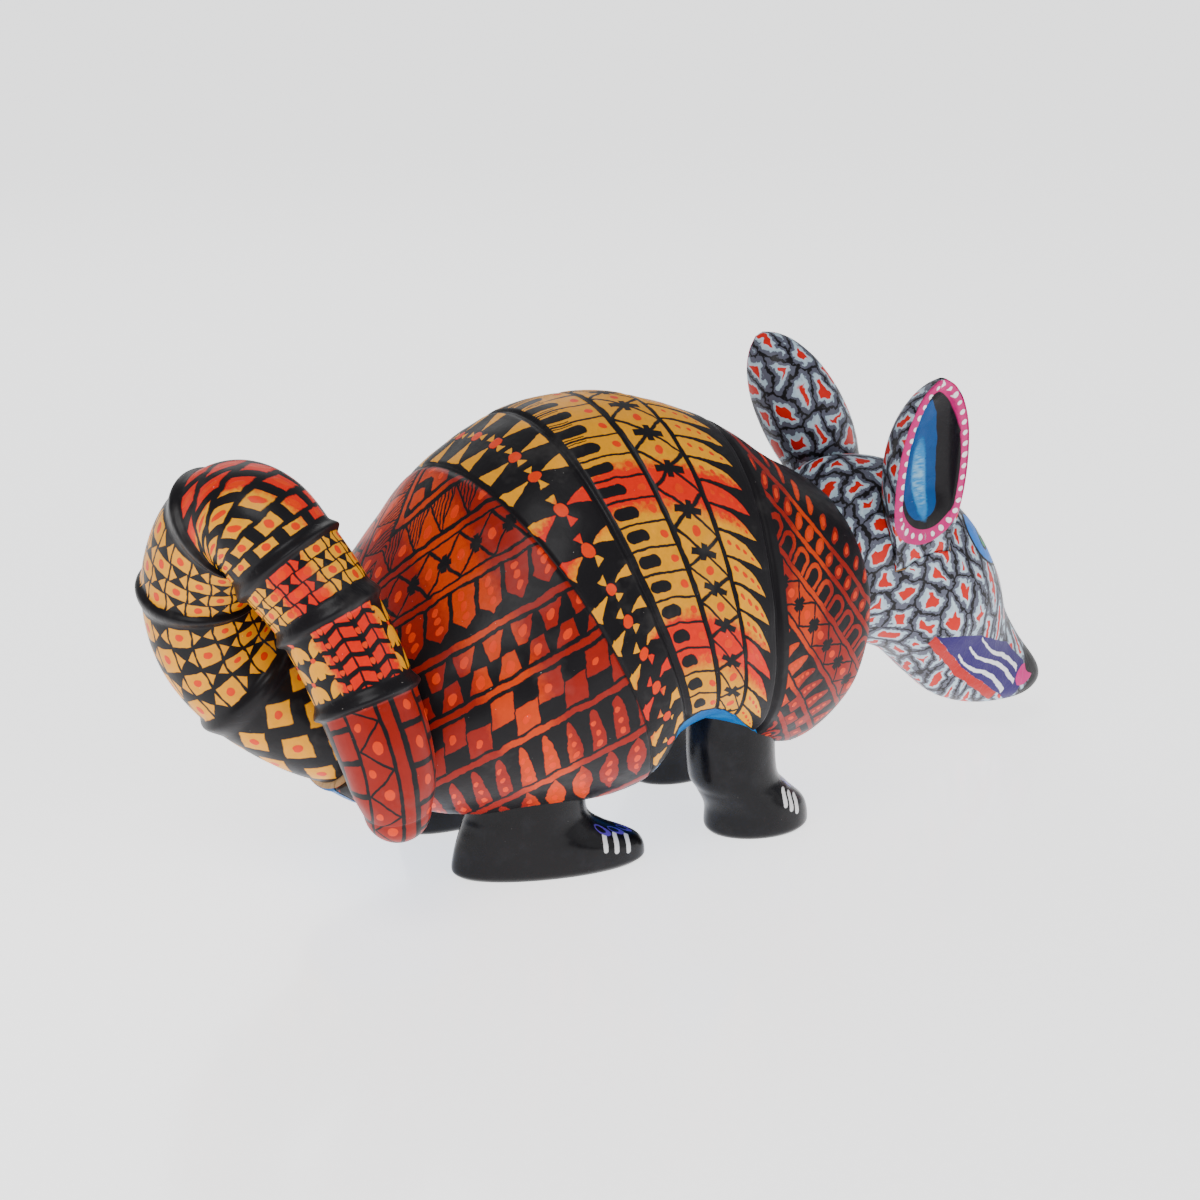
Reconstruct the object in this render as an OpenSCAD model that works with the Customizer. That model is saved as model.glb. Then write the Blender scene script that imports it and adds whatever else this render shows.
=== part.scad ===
// Carved and painted wooden armadillo: a shelled body on four short legs, a head on a
// neck tenon, two plug-in ears and a plug-in curled tail, all located by round dowels.
// +X points to the head, +Y to the animal's left, +Z up, soles on z = 0.

/* [Body] */
// Widest width of the shell
shell_w = 87; // [83:1:90]
// How much the flanks swell below the widest line
shell_swell = 0.07; // [0:0.01:0.1]

/* [Head] */
// Turn of the head to the animal's left, in degrees
head_yaw = 8; // [4:1:12]
// Radius of the round neck tenon
neck_r = 17; // [15:0.5:17]

/* [Tail] */
// Height of the raised lip at the end of each tail ring
lip_h = 1.2; // [0.3:0.1:1.5]
// Upward tilt of the tail's root, in degrees
root_tilt = 26; // [24:1:28]

/* [Joinery] */
// Radius of the neck dowel
neck_dowel_r = 5; // [4:0.5:6]
// Radius of the tail dowel
tail_dowel_r = 4; // [3:0.5:5]
// Radius of the leg dowels
leg_dowel_r = 3; // [2:0.5:3.5]
// Radius of the ear pegs
peg_r = 2; // [1.5:0.25:2]
// Gap between a tenon and its glued mortise
glue_gap = 0.12; // [0.1:0.02:0.2]
// Radial gap of a dowel that pulls out
slide_gap = 0.05; // [0.03:0.01:0.1]
// Gap all round a piece that pulls out
plug_gap = 0.3; // [0.2:0.05:0.4]

/* [Hidden] */
// Facets round every dowel, tenon and socket, alike so that they nest at any radius
$fn = 30;

// Shell hoops from tail to chest. Each row holds the hoop's
// top x, top z, side x, half width, side z, bottom x, bottom z, skew
BODY = [
    [-58.5, 48, -65, 15, 34.75, -71.5, 21.5, 0],
    [-59.5, 54, -66, 21, 38, -71, 20.5, 0],
    [-58, 60, -61, 30.5, 42, -66, 17, 0],
    [-54.5, 66, -50, 37, 46, -56, 14, 1.5],
    [-48, 74.5, -37, 41, 49, -36, 11, 3],
    [-38, 86, -24, 43.5, 51, -6, 12, 4],
    [-22.5, 96.5, -13.5, 43.5, 54, 1, 23, 4],
    [-8.5, 99, -3.5, 42.5, 55, 6, 26, 4],
    [4, 97.5, 4.5, 41.5, 54.5, 11, 25, 4.5],
    [22, 90.5, 15, 39.5, 52, 20, 19, 4],
    [36, 81, 32, 36.5, 50, 30, 14, 2],
    [47, 74.5, 45, 33, 48, 37, 15, 0],
    [49.5, 71.5, 47.5, 29.5, 48, 41, 20, 0],
    [47, 68, 45, 25, 48, 42, 27, 0]];
BODY_W = 43.5;
BODY_STEPS = 3;
BODY_SIDES = 32;

// Head hoops from neck to nose, in the head's own frame: x forward from the collar
COLLAR_X = 47;
NECK_Z = 53;
NECK_IN = 7;
NECK_OUT = 4;
HEAD = [
    [0, 70, 0, 17, 53, 0, 36, 0],
    [11, 76, 11, 18, 55, 9, 34.5, 0],
    [28, 73, 25, 20, 52.5, 18, 31.5, 0],
    [44, 62, 37, 21, 43, 29, 26, 0],
    [53.5, 49, 46, 17.5, 35.5, 37, 18.5, 0],
    [60.5, 35.5, 53, 13, 25, 45, 12, 0],
    [67, 26, 61.5, 10, 18, 56, 8, 0],
    [72, 19.5, 70.5, 8, 13.5, 67, 7, 0],
    [75, 15.5, 75, 4.5, 12, 73.5, 8.5, 0]];
HEAD_STEPS = 4;
HEAD_SIDES = 28;

// Tail centre line after the straight root, as x, y, z, radius
ROOT = [-65, 0, 34.75];
ROOT_R = 13.8;
TAIL = [
    [-84, 2, 46.5, 13], [-91, 4, 55.5, 12.4], [-94, 3, 67, 12], [-93.5, -2, 78, 11.8],
    [-90.5, -8, 84.5, 11.8], [-87, -14, 84, 11.8], [-83, -19, 77.5, 11.5],
    [-78.7, -24.4, 69.7, 10.8], [-75.3, -29, 60.6, 10.5], [-72.9, -33, 51.3, 10.2],
    [-71.1, -36.4, 42.7, 9.7], [-69.8, -37.7, 34.7, 8.7], [-68.8, -37.2, 28.7, 6.9]];
// Rows of the tail's line where a raised lip stands
LIPS = [2.1, 4.1, 5.7, 8, 9.3, 11];
LIP_W = 0.28;
TAIL_STEPS = 5;
TAIL_SIDES = 16;
TIP_STEPS = 4;

// Ear blades: foot point, tip point and the heading that the cup faces
RIGHT_EAR = [[71.3, -15.6, 54], [69, -24.5, 98.6], -85];
LEFT_EAR = [[67.8, 14.4, 64.4], [50.5, 23, 101.5], 88];
// Ear sections as share of the length, half width, thickness, depth of the cup
EAR = [
    [0, 7.5, 6, 0], [0.12, 8, 7.4, 0], [0.24, 9.2, 10, 1.5], [0.38, 10, 12, 4.5],
    [0.55, 10, 12.4, 5.5], [0.72, 9, 10.6, 5], [0.86, 6.8, 7.4, 3], [0.95, 4, 4.2, 0.6],
    [1, 1, 1.4, 0]];
EAR_STEPS = 2;
EAR_SIDES = 28;
EAR_RIM = 2.4;
// Last ear section that can lie inside the head
SEAT_ROW = 3;
PEG_Y = 3.1;
PEG_IN = 8;

// Leg sections as height, centre x, half length, half width
HIND = [
    [0, 0, 20, 7.5], [1.5, 0, 21.5, 8.5], [5.5, -0.5, 20.5, 8.8], [9, -3.5, 16.5, 8.8],
    [12, -5, 14, 8.8], [16, -5, 13, 8.8], [26, -5, 13, 8.8]];
FRONT = [
    [0, 1, 11, 8.2], [1.5, 1, 12, 9.2], [6, 0.5, 11.5, 9.5], [10, -2.4, 10.4, 9.5],
    [14, -4.8, 10, 9.5], [24, -5.5, 10, 9.5], [36, -5.5, 10, 9.5]];
// First leg section that lies in the mortise
LEG_SEAT = 4;
LEG_STEPS = 2;
LEG_SIDES = 24;
HIND_AT = [-25, 17.8, 12];
FRONT_AT = [25.5, 18.6, 8];
DOWEL_HALF = 9;
DOWEL_END = 0.5;

WOOD = "burlywood";
ZIGZAG = "firebrick";
GREY = "lightsteelblue";
BLACK = "dimgray";

function unit(v) = v / norm(v);
function clamp(v, lo, hi) = min(max(v, lo), hi);

// Smooth curve through the rows of a table, read at row number u
function row_at(rows, u) =
    let (last = len(rows) - 1, i = clamp(floor(u), 0, last - 1), t = u - i,
        a = rows[max(i - 1, 0)], b = rows[i], c = rows[i + 1], d = rows[min(i + 2, last)])
    0.5 * (2 * b + (c - a) * t + (2 * a - 5 * b + 4 * c - d) * t * t
        + (3 * b - a - 3 * c + d) * t * t * t);

// Closed hoop through its top, side and bottom points
function hoop(r, sides, swell) = [for (k = [0:sides - 1])
    let (a = 360 * k / sides, mid_x = (r[0] + r[5]) / 2, mid_z = (r[1] + r[6]) / 2)
    [(mid_x + r[2]) / 2 + (r[0] - r[5]) / 2 * cos(a) + (mid_x - r[2]) / 2 * cos(2 * a)
        - r[7] * sin(a),
     r[3] * (sin(a) - swell * sin(2 * a)),
     (mid_z + r[4]) / 2 + (r[1] - r[6]) / 2 * cos(a) + (mid_z - r[4]) / 2 * cos(2 * a)]];

function mean(points) = [for (p = points) 1] * points / len(points);

// Solid skin over a row of rings that hold the same number of points
module loft(rings) {
    n = len(rings[0]);
    m = len(rings);
    points = [each [for (r = rings) each r], mean(rings[0]), mean(rings[m - 1])];
    polyhedron(points, [
        for (i = [0:m - 2], j = [0:n - 1]) let (a = i * n + j, b = i * n + (j + 1) % n)
            each [[a, b, b + n], [a, b + n, a + n]],
        for (j = [0:n - 1]) each [[m * n, (j + 1) % n, j],
            [m * n + 1, (m - 1) * n + j, (m - 1) * n + (j + 1) % n]]]);
}

function body_rings() = [for (k = [0:BODY_STEPS * (len(BODY) - 1)])
    let (r = row_at(BODY, k / BODY_STEPS))
    hoop([r[0], r[1], r[2], r[3] * shell_w / 2 / BODY_W, r[4], r[5], r[6], r[7]],
        BODY_SIDES, shell_swell)];

// Head frame to body frame
function from_head(p) = [COLLAR_X + p.x * cos(head_yaw) - p.y * sin(head_yaw),
    p.x * sin(head_yaw) + p.y * cos(head_yaw), p.z];
function neck_ring(x) = [for (k = [0:HEAD_SIDES - 1]) let (a = 360 * k / HEAD_SIDES)
    [x, neck_r * sin(a), NECK_Z + neck_r * cos(a)]];
function head_rings() = [for (ring = [neck_ring(-NECK_IN), neck_ring(NECK_OUT),
        for (k = [3:HEAD_STEPS * (len(HEAD) - 1)]) hoop(row_at(HEAD, k / HEAD_STEPS), HEAD_SIDES, 0)])
    [for (p = ring) from_head(p)]];

// Tail: straight root, one turn of a coil, round tip
root_axis = [-cos(root_tilt), 0, sin(root_tilt)];
function tail_rows() = [[each ROOT + plug_gap * root_axis, ROOT_R],
    [each ROOT + 10 * root_axis, 13.4], each TAIL];
function lip(u) = max([for (at = LIPS) let (d = (u - at) / LIP_W)
    d < -1 || d > 0.5 ? 0 : d < 0 ? 1 + d : 1 - 2 * d]);
function tail_ring(c, along, r) =
    let (side = unit([0, 1, 0] - along * along.y), up = cross(side, along))
    [for (k = [0:TAIL_SIDES - 1]) let (a = 360 * k / TAIL_SIDES)
        c + r * (cos(a) * up - sin(a) * side)];
function xyz(r) = [r[0], r[1], r[2]];
function tail_rings() =
    let (rows = tail_rows(), last = len(rows) - 1, d = 0.02,
        along = function (u) u == 0 ? root_axis
            : unit(xyz(row_at(rows, u + (u < last ? d : 0)) - row_at(rows, u - d))),
        tip = rows[last], tip_along = along(last))
    [for (k = [0:TAIL_STEPS * last]) let (u = k / TAIL_STEPS, r = row_at(rows, u))
        tail_ring(xyz(r), along(u), r[3] + lip_h * lip(u)),
     for (k = [1:TIP_STEPS]) let (a = 80 * k / TIP_STEPS)
        tail_ring(xyz(tip) + tip_along * tip[3] * sin(a), tip_along, tip[3] * cos(a))];

// Ear frame: z from foot to tip, y to the cupped face, x across
module ear_frame(ear) {
    up = unit(ear[1] - ear[0]);
    heading = [cos(ear[2]), sin(ear[2]), 0];
    face = unit(heading - up * (heading * up));
    across = cross(face, up);
    multmatrix([[across.x, face.x, up.x, ear[0].x], [across.y, face.y, up.y, ear[0].y],
        [across.z, face.z, up.z, ear[0].z]]) children();
}
function ear_rings(len) = [for (k = [0:EAR_STEPS * (len(EAR) - 1)])
    let (r = row_at(EAR, k / EAR_STEPS), inner = max(r[1] - EAR_RIM, 0.1))
    [for (j = [0:EAR_SIDES - 1]) let (a = 360 * j / EAR_SIDES, x = r[1] * cos(a),
            hollow = r[3] * sqrt(max(1 - (x / inner) ^ 2, 0)))
        [x, a < 180 ? -r[2] * sin(a) : -max(hollow, 0), len * r[0]]]];
// Outline of the plug's seat round section r, at height z
function seat_ring(r, z) = [for (j = [0:EAR_SIDES - 1]) let (a = 360 * j / EAR_SIDES)
    [(r[1] + plug_gap) * cos(a), plug_gap - max((r[2] + 2 * plug_gap) * sin(a), 0), z]];
module ear_solid(ear) ear_frame(ear) difference() {
    loft(ear_rings(norm(ear[1] - ear[0])));
    translate([0, -PEG_Y, -1]) cylinder(r = peg_r + glue_gap, h = PEG_IN + 1 + DOWEL_END);
}
module ear_mortise(ear) ear_frame(ear) {
    len = norm(ear[1] - ear[0]);
    loft([seat_ring(EAR[0], -plug_gap),
        for (k = [1:EAR_STEPS * SEAT_ROW]) let (r = row_at(EAR, k / EAR_STEPS)) seat_ring(r, len * r[0]),
        seat_ring(EAR[SEAT_ROW], len)]);
    translate([0, -PEG_Y, -PEG_IN - DOWEL_END]) cylinder(r = peg_r + slide_gap, h = PEG_IN + 1);
}
module ear_peg(ear) ear_frame(ear)
    translate([0, -PEG_Y, -PEG_IN]) cylinder(r = peg_r, h = 2 * PEG_IN);

// Legs: side is -1 on the right, 1 on the left
module leg_frame(at, side) translate([at.x, side * at.y, 0]) rotate(side * at.z) children();
function ellipse(x, half_l, half_w) = [for (k = [0:LEG_SIDES - 1]) let (a = 360 * k / LEG_SIDES)
    [x + half_l * cos(a), half_w * sin(a)]];
function leg_rings(rows) = [for (k = [0:LEG_STEPS * (len(rows) - 1)])
    let (r = row_at(rows, k / LEG_STEPS))
    [for (p = ellipse(r[1], r[2], r[3])) [p.x, -p.y, r[0]]]];
function leg_top(rows) = rows[len(rows) - 1];
module leg_solid(rows, at, side) let (top = leg_top(rows)) leg_frame(at, side) difference() {
    loft(leg_rings(rows));
    translate([top[1], 0, top[0] - DOWEL_HALF - DOWEL_END])
        cylinder(r = leg_dowel_r + glue_gap, h = 2 * DOWEL_HALF);
}
module leg_mortise(rows, at, side) let (top = leg_top(rows)) leg_frame(at, side) {
    linear_extrude(top[0] + glue_gap) hull() for (k = [LEG_STEPS * LEG_SEAT:LEG_STEPS * (len(rows) - 1)])
        let (r = row_at(rows, k / LEG_STEPS))
            polygon(ellipse(r[1], r[2] + glue_gap, r[3] + glue_gap));
    translate([top[1], 0, top[0] - 1]) cylinder(r = leg_dowel_r + glue_gap, h = DOWEL_HALF + 1 + DOWEL_END);
}
module leg_dowel(rows, at, side) let (top = leg_top(rows)) leg_frame(at, side)
    translate([top[1], 0, top[0] - DOWEL_HALF]) cylinder(r = leg_dowel_r, h = 2 * DOWEL_HALF);

// Round bar from behind a joint face to in front of it, along the joint's axis,
// turned a little so that its start lies between two facets of the face
BAR_TURN = 5;
module bar(r, back, ahead) rotate(BAR_TURN) translate([0, 0, -back]) cylinder(r = r, h = back + ahead);
module neck_bar(r, back, ahead) translate([COLLAR_X, 0, NECK_Z]) rotate(head_yaw)
    rotate([0, 90, 0]) bar(r, back, ahead);
module root_bar(r, back, ahead) translate(ROOT) rotate([0, -90 + root_tilt, 0]) bar(r, back, ahead);
NECK_BACK = 22;
NECK_AHEAD = 10;
ROOT_HALF = 12;

// Centre of the figure's plan, which becomes the origin
outline = [each [for (r = body_rings()) each r], each [for (r = head_rings()) each r],
    each [for (r = tail_rings()) each r]];
centre_x = (min([for (p = outline) p.x]) + max([for (p = outline) p.x])) / 2;
centre_y = (min([for (p = outline) p.y]) + max([for (p = outline) p.y])) / 2;
module placed() translate([-centre_x, -centre_y, 0]) children();

module body() color(ZIGZAG) placed() difference() {
    loft(body_rings());
    neck_bar(neck_r + glue_gap, NECK_IN + glue_gap, 40);
    neck_bar(neck_dowel_r + glue_gap, NECK_BACK + DOWEL_END, 0);
    root_bar(tail_dowel_r + slide_gap, ROOT_HALF + DOWEL_END, 1);
    for (side = [-1, 1]) {
        leg_mortise(HIND, HIND_AT, side);
        leg_mortise(FRONT, FRONT_AT, side);
    }
}
module head() color(GREY) placed() difference() {
    loft(head_rings());
    neck_bar(neck_dowel_r + glue_gap, NECK_IN + 1, NECK_AHEAD + DOWEL_END);
    ear_mortise(RIGHT_EAR);
    ear_mortise(LEFT_EAR);
}
module tail() color(ZIGZAG) placed() difference() {
    loft(tail_rings());
    root_bar(tail_dowel_r + glue_gap, 0, ROOT_HALF + DOWEL_END);
}
module right_ear() color(GREY) placed() ear_solid(RIGHT_EAR);
module left_ear() color(GREY) placed() ear_solid(LEFT_EAR);
module right_front_leg() color(BLACK) placed() leg_solid(FRONT, FRONT_AT, -1);
module left_front_leg() color(BLACK) placed() leg_solid(FRONT, FRONT_AT, 1);
module right_hind_leg() color(BLACK) placed() leg_solid(HIND, HIND_AT, -1);
module left_hind_leg() color(BLACK) placed() leg_solid(HIND, HIND_AT, 1);
module neck_dowel() color(WOOD) placed() neck_bar(neck_dowel_r, NECK_BACK, NECK_AHEAD);
module tail_dowel() color(WOOD) placed() root_bar(tail_dowel_r, ROOT_HALF, ROOT_HALF);
module right_front_dowel() color(WOOD) placed() leg_dowel(FRONT, FRONT_AT, -1);
module left_front_dowel() color(WOOD) placed() leg_dowel(FRONT, FRONT_AT, 1);
module right_hind_dowel() color(WOOD) placed() leg_dowel(HIND, HIND_AT, -1);
module left_hind_dowel() color(WOOD) placed() leg_dowel(HIND, HIND_AT, 1);
module right_ear_peg() color(WOOD) placed() ear_peg(RIGHT_EAR);
module left_ear_peg() color(WOOD) placed() ear_peg(LEFT_EAR);

body();
head();
right_ear();
left_ear();
tail();
right_front_leg();
left_front_leg();
right_hind_leg();
left_hind_leg();
neck_dowel();
tail_dowel();
right_front_dowel();
left_front_dowel();
right_hind_dowel();
left_hind_dowel();
right_ear_peg();
left_ear_peg();
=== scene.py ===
import math
import bpy
import numpy as np
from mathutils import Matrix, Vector


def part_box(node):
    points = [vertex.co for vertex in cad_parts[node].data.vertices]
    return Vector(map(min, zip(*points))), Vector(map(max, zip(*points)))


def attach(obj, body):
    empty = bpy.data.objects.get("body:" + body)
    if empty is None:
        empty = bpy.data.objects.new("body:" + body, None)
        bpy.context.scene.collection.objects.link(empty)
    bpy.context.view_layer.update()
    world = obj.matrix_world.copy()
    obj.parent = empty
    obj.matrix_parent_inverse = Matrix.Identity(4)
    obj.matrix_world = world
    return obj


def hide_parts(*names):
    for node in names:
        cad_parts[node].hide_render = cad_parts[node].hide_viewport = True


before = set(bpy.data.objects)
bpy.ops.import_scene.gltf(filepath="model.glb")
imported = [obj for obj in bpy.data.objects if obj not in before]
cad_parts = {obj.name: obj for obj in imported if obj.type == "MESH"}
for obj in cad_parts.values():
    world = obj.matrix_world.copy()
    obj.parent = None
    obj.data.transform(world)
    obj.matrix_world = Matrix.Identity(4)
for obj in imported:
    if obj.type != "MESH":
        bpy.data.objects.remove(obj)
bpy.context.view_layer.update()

PI = math.pi
YAW = math.radians(8)
TILT = math.radians(26)
NECK_X, NECK_Z, NECK_R, NECK_IN = 47.0, 53.0, 17, 7
NECK_DOWEL_R, NECK_BACK, NECK_AHEAD = 5, 22, 10
TAIL_DOWEL_R, TAIL_DOWEL_HALF = 4, 12
LEG_DOWEL_R, LEG_DOWEL_HALF = 3, 9
PEG_R, PEG_HALF, PEG_BEHIND = 2, 8, 3.1
GLUE_GAP, SLIDE_GAP, PLUG_GAP = 0.12, 0.05, 0.3
COLLAR = np.array([NECK_X, 0.0, NECK_Z])
NECK_AXIS = np.array([math.cos(YAW), math.sin(YAW), 0.0])
ROOT = np.array([-65.0, 0.0, 34.75])
ROOT_AXIS = np.array([-math.cos(TILT), 0.0, math.sin(TILT)])

# The drawing's own zero, in the frame's millimetres, found from the neck dowel's middle
low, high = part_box("neck_dowel")
SHIFT = (np.array(low) + np.array(high)) * 500 - (COLLAR - (NECK_BACK - NECK_AHEAD) / 2 * NECK_AXIS)


# ---------------------------------------------------------------- shapes, in mm

# Shell hoops: top x, top z, side x, half width, side z, bottom x, bottom z, skew
BODY = np.array([
    [-58.5, 48, -65, 15, 34.75, -71.5, 21.5, 0],
    [-59.5, 54, -66, 21, 38, -71, 20.5, 0],
    [-58, 60, -61, 30.5, 42, -66, 17, 0],
    [-54.5, 66, -50, 37, 46, -56, 14, 1.5],
    [-48, 74.5, -37, 41, 49, -36, 11, 3],
    [-38, 86, -24, 43.5, 51, -6, 12, 4],
    [-22.5, 96.5, -13.5, 43.5, 54, 1, 23, 4],
    [-8.5, 99, -3.5, 42.5, 55, 6, 26, 4],
    [4, 97.5, 4.5, 41.5, 54.5, 11, 25, 4.5],
    [22, 90.5, 15, 39.5, 52, 20, 19, 4],
    [36, 81, 32, 36.5, 50, 30, 14, 2],
    [47, 74.5, 45, 33, 48, 37, 15, 0],
    [49.5, 71.5, 47.5, 29.5, 48, 41, 20, 0],
    [47, 68, 45, 25, 48, 42, 27, 0]])
# Where the painted shell ends: row, degrees from the spine
SHELL_EDGE = np.array([
    [0, 150], [2.5, 150], [2.95, 149], [3.5, 157], [4, 156], [4.68, 151], [5.1, 132], [5.7, 120],
    [6.4, 118.5], [6.9, 121], [7.6, 128], [8.3, 134], [8.9, 139], [9.6, 146], [10.5, 150],
    [11, 152], [13, 152]])
HEAD = np.array([
    [0, 70, 0, 17, 53, 0, 36, 0],
    [11, 76, 11, 18, 55, 9, 34.5, 0],
    [28, 73, 25, 20, 52.5, 18, 31.5, 0],
    [44, 62, 37, 21, 43, 29, 26, 0],
    [53.5, 49, 46, 17.5, 35.5, 37, 18.5, 0],
    [60.5, 35.5, 53, 13, 25, 45, 12, 0],
    [67, 26, 61.5, 10, 18, 56, 8, 0],
    [72, 19.5, 70.5, 8, 13.5, 67, 7, 0],
    [75, 15.5, 75, 4.5, 12, 73.5, 8.5, 0]])
TAIL = np.array([
    list(ROOT + 0.3 * ROOT_AXIS) + [13.8],
    list(ROOT + 10 * ROOT_AXIS) + [13.4],
    [-84, 2, 46.5, 13], [-91, 4, 55.5, 12.4], [-94, 3, 67, 12], [-93.5, -2, 78, 11.8],
    [-90.5, -8, 84.5, 11.8], [-87, -14, 84, 11.8], [-83, -19, 77.5, 11.5],
    [-78.7, -24.4, 69.7, 10.8], [-75.3, -29, 60.6, 10.5], [-72.9, -33, 51.3, 10.2],
    [-71.1, -36.4, 42.7, 9.7], [-69.8, -37.7, 34.7, 8.7], [-68.8, -37.2, 28.7, 6.9]])
# Rows where a ring ends in a raised lip, and the lip's height
LIPS = (2.1, 4.1, 5.7, 8, 9.3, 11)
LIP_H = 1.2
# Ears: foot, tip, heading of the cupped face
RIGHT_EAR = ((71.3, -15.6, 54), (69, -24.5, 98.6), -85)
LEFT_EAR = ((67.8, 14.4, 64.4), (50.5, 23, 101.5), 88)
# Share of the length, half width, thickness, depth of the cup
EAR = np.array([
    [0, 7.5, 6, 0], [0.12, 8, 7.4, 0], [0.24, 9.2, 10, 1.5], [0.38, 10, 12, 4.5],
    [0.55, 10, 12.4, 5.5], [0.72, 9, 10.6, 5], [0.86, 6.8, 7.4, 3], [0.95, 4, 4.2, 0.6],
    [1, 1, 1.4, 0]])
EAR_RIM = 2.4
EAR_SEAT = 3
# Legs: height, centre x, half length, half width; place, half spread, turn
HIND = np.array([
    [0, 0, 20, 7.5], [1.5, 0, 21.5, 8.5], [5.5, -0.5, 20.5, 8.8], [9, -3.5, 16.5, 8.8],
    [12, -5, 14, 8.8], [16, -5, 13, 8.8], [26, -5, 13, 8.8]])
FRONT = np.array([
    [0, 1, 11, 8.2], [1.5, 1, 12, 9.2], [6, 0.5, 11.5, 9.5], [10, -2.4, 10.4, 9.5],
    [14, -4.8, 10, 9.5], [24, -5.5, 10, 9.5], [36, -5.5, 10, 9.5]])
HIND_AT = (-25, 17.8, 12)
FRONT_AT = (25.5, 18.6, 8)


def unit(v):
    v = np.asarray(v, float)
    return v / np.linalg.norm(v, axis=-1, keepdims=True)


def smooth(x, lo, hi):
    """0 below lo, 1 above hi, and an S between them."""
    t = np.clip((x - lo) / (hi - lo), 0, 1)
    return t * t * (3 - 2 * t)


def row_at(rows, u):
    """Smooth curve through the rows of a table, read at row numbers u."""
    last = len(rows) - 1
    u = np.clip(np.asarray(u, float), 0, last)
    i = np.minimum(np.floor(u).astype(int), last - 1)
    t = (u - i)[..., None]
    a, b = rows[np.maximum(i - 1, 0)], rows[i]
    c, d = rows[i + 1], rows[np.minimum(i + 2, last)]
    return 0.5 * (2 * b + (c - a) * t + (2 * a - 5 * b + 4 * c - d) * t * t
                  + (3 * b - a - 3 * c + d) * t ** 3)


def hoop(r, a, swell):
    """Points of a closed hoop through its top, side and bottom points; a from the top."""
    mid_x, mid_z = (r[..., 0] + r[..., 5]) / 2, (r[..., 1] + r[..., 6]) / 2
    x = ((mid_x + r[..., 2]) / 2 + (r[..., 0] - r[..., 5]) / 2 * np.cos(a)
         + (mid_x - r[..., 2]) / 2 * np.cos(2 * a) - r[..., 7] * np.sin(a))
    y = r[..., 3] * (np.sin(a) - swell * np.sin(2 * a))
    z = ((mid_z + r[..., 4]) / 2 + (r[..., 1] - r[..., 6]) / 2 * np.cos(a)
         + (mid_z - r[..., 4]) / 2 * np.cos(2 * a))
    return np.stack([x, y, z], -1)


def normals(grid):
    """Outward unit normals of a grid of rings whose points go round with the last axis."""
    along = np.gradient(grid, axis=0)
    closed = np.concatenate([grid[:, -2:-1], grid, grid[:, 1:2]], 1)
    n = np.cross(closed[:, 2:] - closed[:, :-2], along)
    centre = grid.mean(1, keepdims=True)
    sign = np.sign(np.sum(n * (grid - centre), -1).mean())
    return sign * n / np.maximum(np.linalg.norm(n, axis=-1, keepdims=True), 1e-9)


def lengths(grid, axis):
    """Distance travelled along one axis of a grid, in mm."""
    step = np.linalg.norm(np.diff(grid, axis=axis), axis=-1)
    pad = [(0, 0), (0, 0)]
    pad[axis] = (1, 0)
    return np.cumsum(np.pad(step, pad), axis=axis)


def make_object(name, vertices, faces, materials, face_slots, corner_uvs):
    """A mesh object from mm vertices, with named corner UV layers."""
    mesh = bpy.data.meshes.new(name)
    v = (np.asarray(vertices, float) + SHIFT) * 0.001
    mesh.from_pydata(v.tolist(), [], [tuple(f) for f in faces])
    for m in materials:
        mesh.materials.append(m)
    mesh.polygons.foreach_set("material_index", np.asarray(face_slots, np.int32))
    mesh.polygons.foreach_set("use_smooth", np.ones(len(faces), bool))
    for layer, values in corner_uvs.items():
        uv = mesh.uv_layers.new(name=layer)
        uv.data.foreach_set("uv", np.asarray(values, np.float32).ravel())
    mesh.update()
    obj = bpy.data.objects.new(name, mesh)
    bpy.context.scene.collection.objects.link(obj)
    return obj


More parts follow.
